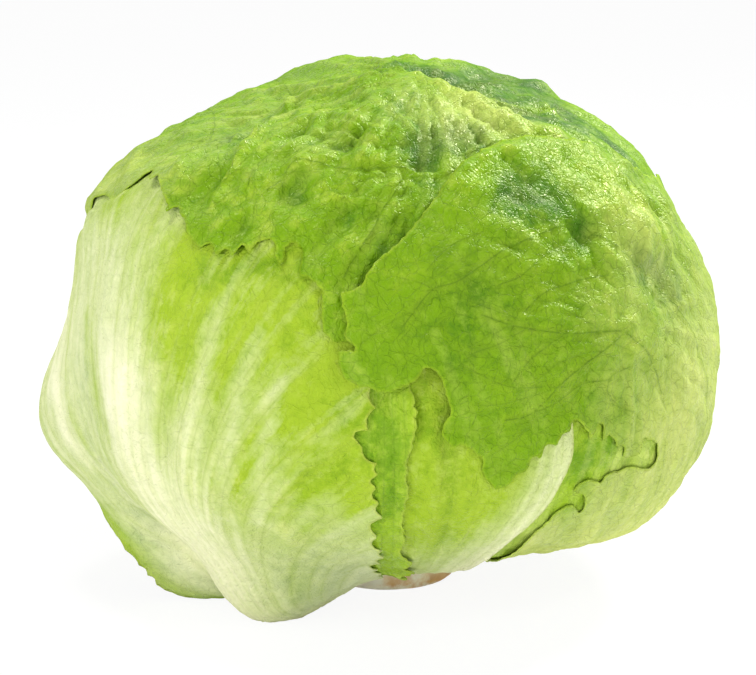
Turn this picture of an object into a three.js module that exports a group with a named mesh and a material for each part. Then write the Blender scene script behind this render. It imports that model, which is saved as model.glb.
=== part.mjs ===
// An iceberg lettuce that stands on its cut stem.
// Units are millimetres, +Z is up, and the origin is the middle of the stem's cut face.
// The head is a tight ball of leaves. Every leaf is a thin shell of its own that follows the ball
// at its own depth, so a leaf is described by its outline on the ball and by how deep it lies.
// Places on the ball are azimuth and elevation in degrees, seen from the middle of the head:
// azimuth 0 faces -Y, azimuth 90 faces +X, and elevation 90 is the crown.
import * as THREE from 'three';
import { mergeVertices } from 'three/addons/utils/BufferGeometryUtils.js';

// ---- Driving dimensions ----
const CENTRE_HEIGHT = 61;      // the middle of the ball above the cut face
const REACH_RIGHT = 83.5;      // from the middle of the ball to its skin, towards +X
const REACH_LEFT = 80;         // towards -X
const REACH_FRONT = 80;        // towards -Y and +Y
const REACH_UP = 73;
const REACH_DOWN = 56;         // the stem stands out below this
const SQUARENESS = 2.25;       // 2 is an ellipsoid, and more is boxier
const SIDE_BLEND = 0.15;       // how sharply the right half passes into the left, and the top into the bottom
const BLADE = 0.7;             // thickness of a wrapper leaf
const INNER_BLADE = 1.2;       // thickness of a crumpled inner leaf
const CUT_RADIUS = 17;         // the stem's cut face
const COLLAR_RADIUS = 18;      // the stem where the outer leaves leave it
const COLLAR_HEIGHT = 9;
const CORE_HEIGHT = 36;        // the stem's core inside the head
const STEM_SIDES = 32;
const HEART_SCALE = 0.42;      // the heart's size against the whole ball
const INNER_LEAVES = 10;
const INNER_OUTERMOST = 0.84;  // size of the largest inner leaf against the ball
const INNER_STEP = 0.042;      // how much smaller each next one is
const GOLDEN_ANGLE = 137.5;    // degrees from one leaf to the next around the stem

// A swell is a soft round bump or hollow: [azimuth, elevation, width in degrees, height].
const BALL_SWELLS = [
  [-70, 60, 15, -5],           // the sloping left shoulder
  [84, 48, 17, -4.5],          // the sloping right shoulder
  [72, -34, 15, 4],            // the full lower right side
];

const middle = new THREE.Vector3(0, 0, CENTRE_HEIGHT);
const radians = THREE.MathUtils.degToRad;
const degrees = THREE.MathUtils.radToDeg;

// ---- The ball ----
function direction(azimuth, elevation) {
  const a = radians(azimuth);
  const e = radians(elevation);
  return new THREE.Vector3(Math.sin(a) * Math.cos(e), -Math.cos(a) * Math.cos(e), Math.sin(e));
}

function sideBlend(low, high, along) {
  return low + (high - low) / (1 + Math.exp(-along / SIDE_BLEND));
}

function swellHeight(way, swells) {
  let height = 0;
  for (const [azimuth, elevation, width, most] of swells) {
    const away = degrees(way.angleTo(direction(azimuth, elevation))) / width;
    height += most * Math.exp(-0.5 * away * away);
  }
  return height;
}

function ballRadius(way) {
  const across = Math.abs(way.x) / sideBlend(REACH_LEFT, REACH_RIGHT, way.x);
  const front = Math.abs(way.y) / REACH_FRONT;
  const tall = Math.abs(way.z) / sideBlend(REACH_DOWN, REACH_UP, way.z);
  const round = (across ** SQUARENESS + front ** SQUARENESS + tall ** SQUARENESS) ** (-1 / SQUARENESS);
  return round + swellHeight(way, BALL_SWELLS);
}

// ---- A leaf's own flat map of the ball, which keeps distances from the leaf's middle ----
function leafMap([azimuth, elevation]) {
  const out = direction(azimuth, elevation);
  const right = direction(azimuth + 90, 0);
  const up = new THREE.Vector3().crossVectors(right, out).negate();
  const toFlat = ([a, e]) => {
    const way = direction(a, e);
    const angle = way.angleTo(out);
    const scale = angle / Math.max(Math.sin(angle), 1e-9);
    return new THREE.Vector3(way.dot(right) * scale, way.dot(up) * scale, 0);
  };
  const toWay = (point) => {
    const angle = point.length();
    const scale = Math.sin(angle) / Math.max(angle, 1e-9);
    return out.clone().multiplyScalar(Math.cos(angle))
      .addScaledVector(right, point.x * scale)
      .addScaledVector(up, point.y * scale);
  };
  return { toFlat, toWay };
}

// ---- A leaf: rows across the blade from the base to the tip, as two sheets joined by a rim ----
function leafGeometry({ at, left, right, rows, columns, thickness, skin }) {
  const map = leafMap(at);
  const leftEdge = new THREE.CatmullRomCurve3(left.map(map.toFlat), false, 'centripetal');
  const rightEdge = new THREE.CatmullRomCurve3(right.map(map.toFlat), false, 'centripetal');
  const positions = [];
  for (const inwards of [0, thickness]) {
    for (let row = 0; row <= rows; row += 1) {
      const from = leftEdge.getPoint(row / rows);
      const to = rightEdge.getPoint(row / rows);
      for (let column = 0; column <= columns; column += 1) {
        const way = map.toWay(from.clone().lerp(to, column / columns));
        const point = way.clone().multiplyScalar(skin(way) - inwards).add(middle);
        positions.push(point.x, point.y, Math.max(point.z, inwards));
      }
    }
  }
  const wide = columns + 1;
  const sheet = wide * (rows + 1);
  const index = [];
  const quad = (a, b, c, d) => index.push(a, b, c, a, c, d);
  for (let row = 0; row < rows; row += 1) {
    for (let column = 0; column < columns; column += 1) {
      const a = row * wide + column;
      quad(a, a + 1, a + 1 + wide, a + wide);
      quad(sheet + a, sheet + a + wide, sheet + a + 1 + wide, sheet + a + 1);
    }
  }
  for (let column = 0; column < columns; column += 1) {
    const top = rows * wide + column;
    quad(column, sheet + column, sheet + column + 1, column + 1);
    quad(top, top + 1, sheet + top + 1, sheet + top);
  }
  for (let row = 0; row < rows; row += 1) {
    const a = row * wide;
    const b = a + columns;
    quad(a, a + wide, sheet + a + wide, sheet + a);
    quad(b, sheet + b, sheet + b + wide, b + wide);
  }
  const geometry = new THREE.BufferGeometry();
  geometry.setAttribute('position', new THREE.Float32BufferAttribute(positions, 3));
  geometry.setIndex(index);
  return geometry;
}

function leafMaterial(colour) {
  return new THREE.MeshStandardMaterial({ color: colour, roughness: 0.45, metalness: 0 });
}

function namedMesh(name, geometry, material) {
  const mesh = new THREE.Mesh(geometry, material);
  mesh.name = name;
  return mesh;
}

// ---- The wrapper leaves ----
// left and right are the leaf's two edges from its base at the stem to its tip, seen from outside,
// and depth is how far its outer face lies under the skin of the ball.
const wrappers = [
  {
    // The big pale leaf on the left: its broad keel and its lower edge rest on the ground.
    name: 'wrapper_left',
    at: [-52, -8],
    left: [[-86, -63], [-80, -50], [-84, -34], [-98, -18], [-108, 0], [-104, 18], [-84, 29], [-66, 36]],
    right: [[8, -64], [-1, -48], [-2, -30], [-2, -14], [-3, 0], [-6, 14], [-20, 28], [-40, 35]],
    depth: 2.2,
    swells: [[-60, -10, 24, 2.2], [-38, -52, 12.5, 14.5], [-90, -15, 12, 12], [-72, -47, 8, 12], [-90, -38, 9, 9]],
    rows: 20,
    columns: 16,
    colour: 0xc9dd93,
  },
  {
    // The green leaf that comes up the back, lies over the crown and hangs down the front.
    name: 'wrapper_crown',
    at: [180, 60],
    left: [[150, -68], [142, -45], [132, -20], [121, 4], [112, 20], [96, 28], [66, 31], [38, 28], [17, 23],
      [4, 18], [-5, 13]],
    right: [[-150, -68], [-142, -45], [-131, -20], [-119, 4], [-106, 21], [-92, 29], [-66, 35], [-48, 32],
      [-32, 26], [-18, 24], [-11, 14]],
    depth: 0,
    swells: [],
    rows: 30,
    columns: 15,
    colour: 0x8cc03e,
  },
  {
    // The green leaf that wraps the right side and the front, torn open low on the front.
    name: 'wrapper_right',
    at: [60, 8],
    left: [[34, -66], [24, -48], [25, -32], [31, -18], [50, -12.5], [50, -10], [36, -8.5], [18, -12],
      [9, -1], [4, 6.5], [-8, 10], [-8, 20], [4, 32], [14, 41]],
    right: [[116, -66], [124, -45], [127, -28], [128, -18], [128, -11], [128, -6], [127, 2], [125, 14],
      [122, 21], [117, 27], [108, 33], [92, 39], [66, 43], [34, 47]],
    depth: 0,
    swells: [[8, 24, 16, 2.4], [40, 44, 14, 2], [72, 38, 16, 1.4], [48, -59, 13, -4.8], [105, 28, 14, 2.2], [124, 6, 16, 2.2]],
    rows: 34,
    columns: 14,
    colour: 0x8abf3c,
  },
  {
    // The pale leaf low on the front, over the stem.
    name: 'front_base_leaf',
    at: [16, -24],
    left: [[-20, -67], [-4, -50], [3, -34], [5, -22], [4, -8], [3, 4], [10, 12]],
    right: [[58, -67], [34, -52], [19, -36], [22, -27], [30, -13], [31, -1], [24, 10]],
    depth: 5.8,
    swells: [[18, -14, 9, 3.8]],
    rows: 14,
    columns: 6,
    colour: 0xd3e3a6,
  },
  {
    // The leaf whose frilled edge shows in the slit between the left and the front leaf.
    name: 'front_frill_leaf',
    at: [-10, -18],
    left: [[-42, -67], [-32, -48], [-28, -30], [-26, -12], [-22, 4], [-14, 12]],
    right: [[6, -67], [5, -48], [4, -30], [3, -12], [4, 2], [0, 10]],
    depth: 3.4,
    swells: [],
    rows: 12,
    columns: 6,
    colour: 0x9fcb52,
  },
  {
    // The leaf seen through the tear in the right-hand one.
    name: 'front_inner_leaf',
    at: [42, -14],
    left: [[34, -66], [22, -44], [18, -22], [19, -2], [28, 14]],
    right: [[80, -66], [72, -44], [68, -22], [64, -2], [52, 14]],
    depth: 7.4,
    swells: [],
    rows: 12,
    columns: 7,
    colour: 0x8fbb4a,
  },
  {
    // The leaf at the back left, whose top edge curls out beside the crown leaf.
    name: 'back_left_leaf',
    at: [-115, -8],
    left: [[-148, -66], [-150, -44], [-150, -18], [-146, 6], [-134, 22], [-114, 32]],
    right: [[-88, -66], [-84, -44], [-80, -18], [-78, 8], [-80, 26], [-92, 33]],
    depth: 3.4,
    swells: [],
    rows: 14,
    columns: 9,
    colour: 0xa7cf58,
  },
  {
    // The leaf at the back right.
    name: 'back_right_leaf',
    at: [122, -8],
    left: [[92, -66], [88, -44], [86, -18], [88, 6], [96, 20], [108, 26]],
    right: [[152, -66], [156, -44], [156, -18], [150, 6], [138, 20], [124, 26]],
    depth: 3.4,
    swells: [],
    rows: 14,
    columns: 9,
    colour: 0xa7cf58,
  },
];

function wrapperLeaf(wrapper) {
  const skin = (way) => ballRadius(way) - wrapper.depth + swellHeight(way, wrapper.swells);
  const geometry = leafGeometry({ ...wrapper, thickness: BLADE, skin });
  return namedMesh(wrapper.name, geometry, leafMaterial(wrapper.colour));
}

// ---- The nested leaves inside, each a golden angle round the stem from the one before ----
function innerLeaf(number) {
  const azimuth = number * GOLDEN_ANGLE;
  const scale = INNER_OUTERMOST - number * INNER_STEP;
  const turned = (side) => ([offset, elevation]) => [azimuth + side * offset, elevation];
  const edge = [[58, -62], [76, -40], [92, -12], [94, 16], [84, 42], [62, 64]];
  const geometry = leafGeometry({
    at: [azimuth, 4],
    left: edge.map(turned(-1)),
    right: edge.map(turned(1)),
    rows: 10,
    columns: 14,
    thickness: INNER_BLADE,
    skin: (way) => ballRadius(way) * scale,
  });
  const colour = new THREE.Color(0xb4d66c).lerp(new THREE.Color(0xeef0b8), number / INNER_LEAVES);
  return namedMesh(`inner_leaf_${number + 1}`, geometry, leafMaterial(colour));
}

// ---- The heart: the bud of small leaves still folded into one lump ----
function heart() {
  const lump = new THREE.IcosahedronGeometry(1, 6);
  lump.deleteAttribute('normal');
  lump.deleteAttribute('uv');
  const geometry = mergeVertices(lump);
  const position = geometry.getAttribute('position');
  const way = new THREE.Vector3();
  for (let i = 0; i < position.count; i += 1) {
    way.fromBufferAttribute(position, i).normalize();
    const point = way.clone().multiplyScalar(ballRadius(way) * HEART_SCALE).add(middle);
    position.setXYZ(i, point.x, point.y, point.z);
  }
  return namedMesh('heart', geometry, leafMaterial(0xf1eebb));
}

// ---- The stem: a cut butt with a collar, and the core that tapers up inside the head ----
function stem() {
  const bevel = 0.8;
  const profile = [
    [0, 0],
    [CUT_RADIUS - bevel, 0],
    [CUT_RADIUS, bevel],
    [COLLAR_RADIUS, COLLAR_HEIGHT * 0.6],
    [COLLAR_RADIUS, COLLAR_HEIGHT],
    [COLLAR_RADIUS * 0.78, CORE_HEIGHT * 0.5],
    [COLLAR_RADIUS * 0.52, CORE_HEIGHT * 0.86],
    [COLLAR_RADIUS * 0.3, CORE_HEIGHT * 0.98],
    [0, CORE_HEIGHT],
  ].map(([radius, height]) => new THREE.Vector2(radius, height));
  const geometry = new THREE.LatheGeometry(profile, STEM_SIDES);
  const material = new THREE.MeshStandardMaterial({ color: 0xe9e3cf, roughness: 0.6, metalness: 0 });
  const mesh = namedMesh('stem', geometry, material);
  mesh.rotation.x = Math.PI / 2;
  return mesh;
}

const lettuce = new THREE.Group();
lettuce.add(stem(), heart());
for (let number = 0; number < INNER_LEAVES; number += 1) {
  lettuce.add(innerLeaf(number));
}
for (const wrapper of wrappers) {
  lettuce.add(wrapperLeaf(wrapper));
}

export default lettuce;
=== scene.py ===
"""The looks of an iceberg lettuce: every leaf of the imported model, made again with its folds and veins.

The head is a ball of leaves. Each leaf is a thin closed shell that follows the ball at its own depth.
A leaf is described by its outline on the ball, its dents and creases, its main veins and its tones. Then
one builder triangulates it, raises its relief, tucks it under the leaves that lie over it and gives it
its thickness. Places are (azimuth, elevation) in degrees, seen from the middle of the ball: azimuth 0
faces the camera (-Y), azimuth 90 faces +X, and elevation 90 is the crown. Lengths are millimetres of
the nominal part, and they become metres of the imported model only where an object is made.
"""

import math

import bpy
import numpy as np
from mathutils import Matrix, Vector, geometry, kdtree


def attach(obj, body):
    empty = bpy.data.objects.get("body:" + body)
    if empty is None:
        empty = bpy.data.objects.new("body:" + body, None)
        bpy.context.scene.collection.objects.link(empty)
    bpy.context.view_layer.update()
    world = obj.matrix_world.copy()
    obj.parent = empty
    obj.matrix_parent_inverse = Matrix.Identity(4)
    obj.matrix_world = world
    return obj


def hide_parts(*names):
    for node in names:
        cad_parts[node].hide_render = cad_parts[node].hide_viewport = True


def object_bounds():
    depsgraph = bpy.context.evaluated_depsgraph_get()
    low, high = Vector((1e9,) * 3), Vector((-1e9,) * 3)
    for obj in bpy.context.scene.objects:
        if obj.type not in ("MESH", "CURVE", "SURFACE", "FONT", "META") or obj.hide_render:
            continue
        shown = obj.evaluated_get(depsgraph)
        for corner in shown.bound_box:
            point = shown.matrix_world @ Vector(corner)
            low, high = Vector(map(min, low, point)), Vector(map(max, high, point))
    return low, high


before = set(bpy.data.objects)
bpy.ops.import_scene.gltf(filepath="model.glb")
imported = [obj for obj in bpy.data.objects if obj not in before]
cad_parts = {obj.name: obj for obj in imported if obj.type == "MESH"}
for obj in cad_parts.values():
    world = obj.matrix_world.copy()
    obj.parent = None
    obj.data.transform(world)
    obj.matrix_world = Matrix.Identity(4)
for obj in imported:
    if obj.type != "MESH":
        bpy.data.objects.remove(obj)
cad_low, cad_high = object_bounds()

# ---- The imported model's size ----
NOMINAL_HEIGHT = 133.07
SCALE = (cad_high.z - cad_low.z) / NOMINAL_HEIGHT

# ---- The ball that all the leaves follow, as in the CAD source ----
CENTRE_HEIGHT = 61.0
REACH_RIGHT = 83.5
REACH_LEFT = 80.0
REACH_FRONT = 80.0
REACH_UP = 73.0
REACH_DOWN = 56.0
SQUARENESS = 2.25
SIDE_BLEND = 0.15

# Outlines, veins and triangles are worked out on a plain sphere of this radius, and shaped afterwards.
MAP_RADIUS = 80.0

# The gap that is kept between a leaf and the ones over it.
CLEARANCE = 0.25

# A swell is a soft round bump or hollow: (azimuth, elevation, width in degrees, height in mm).
BALL_SWELLS = [
    (-70, 60, 15, -5),
    (84, 48, 17, -4.5),
    (72, -34, 15, 4),
]


# ---- Places on the ball ----
def direction(azimuth, elevation):
    """The unit vector towards a place."""
    a = np.radians(azimuth)
    e = np.radians(elevation)
    return np.stack([np.sin(a) * np.cos(e), -np.cos(a) * np.cos(e), np.sin(e) + 0 * a], -1)


def directions(places):
    pairs = np.array(places, float)
    return direction(pairs[:, 0], pairs[:, 1])


def unit(vectors):
    return vectors / np.linalg.norm(vectors, axis=-1, keepdims=True)


def axes_at(place):
    """The unit vectors outwards, to the right and up at a place."""
    out = direction(*place)
    right = direction(place[0] + 90, 0)
    return out, right, -np.cross(right, out)


def side_blend(low, high, along):
    """Changes softly from low on the negative side to high on the positive side."""
    return low + (high - low) / (1 + np.exp(-along / SIDE_BLEND))


def degrees_apart(ways, way):
    return np.degrees(np.arccos(np.clip(ways @ way, -1, 1)))


def degrees_from_foot(points):
    return degrees_apart(unit(points), direction(0, -90))


def swell_height(ways, swells):
    """The sum of soft round swells, each (azimuth, elevation, width in degrees, height)."""
    height = np.zeros(len(ways))
    for azimuth, elevation, width, most in swells:
        away = degrees_apart(ways, direction(azimuth, elevation)) / width
        height += most * np.exp(-0.5 * away * away)
    return height


def ball_radius(ways):
    """How far the ball reaches in each direction: a rounded egg with a few broad swells."""
    across = np.abs(ways[:, 0]) / side_blend(REACH_LEFT, REACH_RIGHT, ways[:, 0])
    front = np.abs(ways[:, 1]) / REACH_FRONT
    tall = np.abs(ways[:, 2]) / side_blend(REACH_DOWN, REACH_UP, ways[:, 2])
    total = across**SQUARENESS + front**SQUARENESS + tall**SQUARENESS
    return total ** (-1 / SQUARENESS) + swell_height(ways, BALL_SWELLS)


# ---- Smooth random values ----
# The number of random slopes, an offset that keeps every cell's number positive, and the gain to about 1.
NOISE_TABLE = 256
NOISE_ORIGIN = 64
NOISE_GAIN = 1.7
BILLOW_MEAN = 0.4


def noise(points, wavelength, seed):
    """Random values from about -1 to 1, one per point, that change smoothly over a wavelength in mm."""
    rng = np.random.default_rng(seed)
    shuffle = rng.permutation(NOISE_TABLE)
    slopes = unit(rng.normal(size=(NOISE_TABLE, 3)))
    place = points / wavelength + NOISE_ORIGIN
    cell = np.floor(place).astype(int)
    inside = place - cell
    ease = inside**3 * (inside * (inside * 6 - 15) + 10)
    total = np.zeros(len(points))
    for corner in np.ndindex(2, 2, 2):
        x, y, z = ((cell + corner) % NOISE_TABLE).T
        column = shuffle[(shuffle[x] + y) % NOISE_TABLE]
        slope = slopes[shuffle[(column + z) % NOISE_TABLE]]
        share = np.where(corner, ease, 1 - ease).prod(1)
        total += share * ((inside - corner) * slope).sum(1)
    return total * NOISE_GAIN


def billows(points, wavelength, seed):
    """Rounded puffs with narrow valleys between them, from 0 to about 1."""
    return np.abs(noise(points, wavelength, seed)) ** 0.8


def smooth_step(low, high, values):
    x = np.clip((values - low) / (high - low), 0, 1)
    return x * x * (3 - 2 * x)


# ---- Lines on the ball ----
def smooth_line(places, step):
    """A curve through places given as (azimuth, elevation)."""
    return smooth_curve(directions(places), step)


def smooth_curve(knots, step):
    """A curve through knots that are unit vectors, as points about a step apart on the sphere."""
    knots = np.vstack([2 * knots[0] - knots[1], knots, 2 * knots[-1] - knots[-2]])
    gaps = np.maximum(np.linalg.norm(np.diff(knots, axis=0), axis=1), 1e-6) ** 0.5
    times = np.concatenate([[0], np.cumsum(gaps)])
    pieces = []
    for i in range(1, len(knots) - 2):
        count = max(2, int(np.linalg.norm(knots[i + 1] - knots[i]) * MAP_RADIUS / step * 3))
        t = np.linspace(times[i], times[i + 1], count, endpoint=False)[:, None]
        pieces.append(catmull_rom(knots[i - 1:i + 3], times[i - 1:i + 3], t))
    pieces.append(knots[-2:-1])
    return resample(unit(np.vstack(pieces)) * MAP_RADIUS, step)


def catmull_rom(knots, times, t):
    """The curve between the middle two of four knots, at the times t."""
    a, b, c, d = knots
    ta, tb, tc, td = times
    ab = ((tb - t) * a + (t - ta) * b) / (tb - ta)
    bc = ((tc - t) * b + (t - tb) * c) / (tc - tb)
    cd = ((td - t) * c + (t - tc) * d) / (td - tc)
    abc = ((tc - t) * ab + (t - ta) * bc) / (tc - ta)
    bcd = ((td - t) * bc + (t - tb) * cd) / (td - tb)
    return ((tc - t) * abc + (t - tb) * bcd) / (tc - tb)


def length_along(line):
    """How far along the line each of its points lies."""
    return np.concatenate([[0], np.cumsum(np.linalg.norm(np.diff(line, axis=0), axis=1))])


def resample(line, step, count=None):
    """The same line with points spaced evenly along it, about a step apart or as many as the count."""
    along = length_along(line)
    count = count or max(2, int(round(along[-1] / step)) + 1)
    even = np.linspace(0, along[-1], count)
    return np.stack([np.interp(even, along, column) for column in line.T], 1)


def tree_of(points):
    """A search tree over the points."""
    tree = kdtree.KDTree(len(points))
    for number, point in enumerate(points.tolist()):
        tree.insert(point, number)
    tree.balance()
    return tree


def nearest(points, targets):
    """For each point, the distance to the nearest target and the number of that target."""
    tree = tree_of(targets)
    found = [tree.find(point) for point in points.tolist()]
    return np.array([f[2] for f in found]), np.array([f[1] for f in found])


# ---- A leaf's outline ----
# Shares of the tooth spacing and of the bay depth, from the least to the most.
TOOTH_GAPS = (0.55, 1.5)
BAY_DEPTHS = (0.4, 1.2)
BAY_FULLNESS = 0.6


def toothed(line, tooth, start, outward_side, rng):
    """The line with rounded bays cut into it between pointed teeth.

    tooth is (bay depth, tooth spacing), and start is where along the line the teeth begin and are whole.
    """
    depth, spacing = tooth
    if depth == 0:
        return line
    along = length_along(line)
    tips = [0.0]
    while tips[-1] < along[-1]:
        tips.append(tips[-1] + spacing * rng.uniform(*TOOTH_GAPS))
    bay = np.searchsorted(tips, along, side="right") - 1
    bay = np.clip(bay, 0, len(tips) - 2)
    tips = np.array(tips)
    share = (along - tips[bay]) / (tips[bay + 1] - tips[bay])
    deep = rng.uniform(*BAY_DEPTHS, len(tips))[bay]
    cut = depth * deep * np.sin(np.pi * np.clip(share, 0, 1)) ** BAY_FULLNESS
    cut *= smooth_step(*start, along)
    forward = unit(np.gradient(line, axis=0))
    outward = np.cross(forward, unit(line)) * outward_side
    return unit(line - outward * cut[:, None]) * MAP_RADIUS


def leaf_outline(leaf, rng):
    """The closed outline as points on the sphere of MAP_RADIUS, anticlockwise seen from outside."""
    left = smooth_line(leaf["left"], leaf["edge_step"])
    right = smooth_line(leaf["right"], leaf["edge_step"])
    left = toothed(left, leaf["left_teeth"], leaf["tooth_start"], -1, rng)
    right = toothed(right, leaf["right_teeth"], leaf["tooth_start"], 1, rng)
    base = great_line(left[0], right[0], leaf["edge_step"] * 2)[1:-1]
    tip = great_line(right[-1], left[-1], leaf["edge_step"])[1:-1]
    return np.vstack([left[:1], base, right, tip, left[:0:-1]])


def great_line(start, end, step):
    """The shortest line on the sphere from start to end."""
    count = max(2, int(np.linalg.norm(end - start) / step) + 1)
    share = np.linspace(0, 1, count)[:, None]
    return unit(start * (1 - share) + end * share) * MAP_RADIUS


# ---- Streams: the lines that a leaf's ribs and veins follow from its foot to its tip ----
# Streams are sampled as this many lines, and a point takes its place from the samples nearest to it.
STREAM_LINES = 70
STREAM_STEP = 2.5
STREAM_NEIGHBOURS = 5
STREAM_SOFTNESS = 0.35
STREAM_WANDER = 0.1
STREAM_VEIN_STRENGTH = 0.75


def stream_knots(guides, share, drift):
    """The knots of the line at a share of the way from the first guide line to the last."""
    knots = np.array([directions(guide) for guide in guides])
    place = np.clip(share + drift, 0, 1) * (len(guides) - 1)
    lower = np.minimum(place.astype(int), len(guides) - 2)
    part = (place - lower)[:, None]
    row = np.arange(knots.shape[1])
    return unit(knots[lower, row] * (1 - part) + knots[lower + 1, row] * part)


def stream_veins(leaf, rng):
    """Main veins that run along the streams, each a little off the straight course."""
    guides = leaf["guides"]
    count = leaf["stream_veins"]
    lines = []
    for share in (np.arange(count) + 0.5) / max(count, 1):
        drift = np.cumsum(rng.normal(0, STREAM_WANDER / count, len(guides[0])))
        lines.append(smooth_curve(stream_knots(guides, share, drift), VeinNet.STEP))
    return lines


def stream_coordinates(leaf, points):
    """Where each point lies in the streams, in mm: how far across the leaf, and how far along it."""
    guides = leaf["guides"]
    samples = []
    places = []
    for share in np.linspace(0, 1, STREAM_LINES):
        line = smooth_curve(stream_knots(guides, share, np.zeros(len(guides[0]))), STREAM_STEP)
        samples.append(line)
        places += [(share * leaf["width"], number * STREAM_STEP) for number in range(len(line))]
    tree = tree_of(np.vstack(samples))
    places = np.array(places)
    result = np.zeros((len(points), 2))
    for i, point in enumerate(points.tolist()):
        found = tree.find_n(point, STREAM_NEIGHBOURS)
        weight = 1 / (np.array([f[2] for f in found]) + STREAM_SOFTNESS) ** 2
        result[i] = weight @ places[[f[1] for f in found]] / weight.sum()
    return result[:, 0], result[:, 1]


# ---- Veins ----
def rotate_about(vector, axis, angle):
    """A tangent vector turned about the unit axis that it is square to."""
    return vector * math.cos(angle) + np.cross(axis, vector) * math.sin(angle)


class VeinNet:
    """The veins of one leaf: the main ones that are given, and the smaller ones that grow along with them."""

    # The grid that tells which places have a vein, and the distance between a vein's points.
    CELL = 1.3
    STEP = 0.9
    # How a growing vein bends and wanders, in radians a step.
    BEND = 0.012
    WANDER = 0.04
    # How many guide points steer a vein, and how softly.
    NEIGHBOURS = 14
    SOFTNESS = 2
    # Branches: the shares of the spacing to the first and the next one, their angles in degrees, the share
    # of the full length that they reach, and how strongly they turn into the flow.
    FIRST_GAP = (0.3, 1)
    NEXT_GAP = (0.6, 1.4)
    ANGLE = (24, 46)
    REACH = (0.6, 1.4)
    BRANCH_PULL = 0.07
    # Veins that fill the gaps: the spread of their headings, and the pull ahead and behind.
    SEED_SPREAD = 0.25
    AHEAD_PULL = 0.12
    BEHIND_PULL = 0.04

    def __init__(self, rng, inside):
        self.rng = rng
        self.inside = inside
        self.lines = []
        self.taken = {}
        self.crowded = set()

    def key(self, point, cell):
        return tuple(np.floor(point / cell).astype(int))

    def add(self, line, strength, room):
        number = len(self.lines)
        self.lines.append((line, strength))
        for point in line:
            self.taken.setdefault(self.key(point, self.CELL), number)
            x, y, z = self.key(point, room)
            self.crowded.update((x + i, y + j, z + k) for i, j, k in np.ndindex(2, 2, 2))
            self.crowded.update((x - i, y - j, z - k) for i, j, k in np.ndindex(2, 2, 2))

    def follow_main(self):
        """Remembers which way the main veins run, for the smaller ones to run along with them."""
        self.headings = np.vstack([unit(np.gradient(line, axis=0)) for line, _ in self.lines])
        self.guide_tree = tree_of(np.vstack([line for line, _ in self.lines]))

    def flow(self, point):
        """The heading of the main veins about the point."""
        found = self.guide_tree.find_n(point, self.NEIGHBOURS)
        total = sum(self.headings[number] / (away + self.SOFTNESS) ** 2 for _, number, away in found)
        return total / max(np.linalg.norm(total), 1e-9)

    def grow(self, start, heading, length, pull, own=None):
        """A line from start that wanders along the flow and ends where it meets another vein."""
        point = start
        bend = self.rng.uniform(-self.BEND, self.BEND)
        line = [start]
        way = 1 if heading @ self.flow(start) > 0 else -1
        for number in range(int(length / self.STEP)):
            up = point / MAP_RADIUS
            heading = rotate_about(heading, up, bend + self.rng.normal(0, self.WANDER))
            heading = heading + pull * way * self.flow(point)
            heading = heading - up * (heading @ up)
            heading = heading / np.linalg.norm(heading)
            point = point + heading * self.STEP
            point = point / np.linalg.norm(point) * MAP_RADIUS
            if not self.inside(point):
                break
            line.append(point)
            if number > 3 and self.taken.get(self.key(point, self.CELL), own) != own:
                break
        return line

    def branch(self, spacing, length, strength, parents, room):
        """Side veins on both sides of the given lines."""
        for line, parent_strength in parents:
            distance = 0.0
            due = spacing * self.rng.uniform(*self.FIRST_GAP)
            side = self.rng.choice([-1, 1])
            for i in range(1, len(line) - 1):
                distance += np.linalg.norm(line[i] - line[i - 1])
                if distance < due:
                    continue
                due += spacing * self.rng.uniform(*self.NEXT_GAP)
                side = -side
                heading = unit(line[i + 1] - line[i - 1])
                turn = side * math.radians(self.rng.uniform(*self.ANGLE))
                heading = rotate_about(heading, line[i] / MAP_RADIUS, turn)
                reach = length * self.rng.uniform(*self.REACH)
                own = self.taken.get(self.key(line[i], self.CELL))
                grown = self.grow(line[i], heading, reach, self.BRANCH_PULL, own)
                if len(grown) > 4:
                    self.add(np.array(grown), strength * min(1, parent_strength), room)

    def fill(self, seeds, length, strength, room):
        """Small veins in the gaps that are left, each grown both ways from a seed."""
        for seed in seeds:
            if self.key(seed, room) in self.crowded:
                continue
            turn = self.rng.normal(0, self.SEED_SPREAD)
            heading = rotate_about(self.flow(seed), seed / MAP_RADIUS, turn)
            ahead = self.grow(seed, heading, length, self.AHEAD_PULL)
            behind = self.grow(seed, -heading, length, self.BEHIND_PULL)
            line = behind[:0:-1] + ahead
            if len(line) > 6:
                self.add(np.array(line), strength, room)


BRANCH_STRENGTH = 0.5
FILL_STRENGTH = 0.3


def leaf_veins(leaf, inside, rng):
    """All the veins of a leaf, as (line, strength): main ones, their branches and the small ones between."""
    net = VeinNet(rng, inside)
    room = leaf["vein_room"]
    for places, strength in leaf["veins"]:
        net.add(smooth_line(places, net.STEP), strength, room)
    if leaf["stream_veins"]:
        for line in stream_veins(leaf, rng):
            net.add(line, STREAM_VEIN_STRENGTH, room)
    if not net.lines:
        return []
    net.follow_main()
    main = list(net.lines)
    spacing, length = leaf["branching"]
    net.branch(spacing, length, BRANCH_STRENGTH, main, room)
    seeds = ball_points(room * 1.2)
    seeds = seeds[rng.permutation(len(seeds))]
    middle, reach = leaf["fine_zone"]
    near = degrees_apart(unit(seeds), direction(*middle)) < reach
    seeds = [seed for seed in seeds[near] if inside(seed)]
    net.fill(seeds, length * 1.4, FILL_STRENGTH, room)
    return net.lines


# ---- The leaf's flat sheet of triangles ----
POINT_AREA = 0.866  # the area that each point of an even triangle grid takes, for a spacing of 1
LEAF_REACH = 140  # no leaf goes further than this from its middle, in degrees
VEIN_WIDTH = 0.26
VEIN_ROOM = 0.45
MARGIN_ROOM = 0.5


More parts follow.
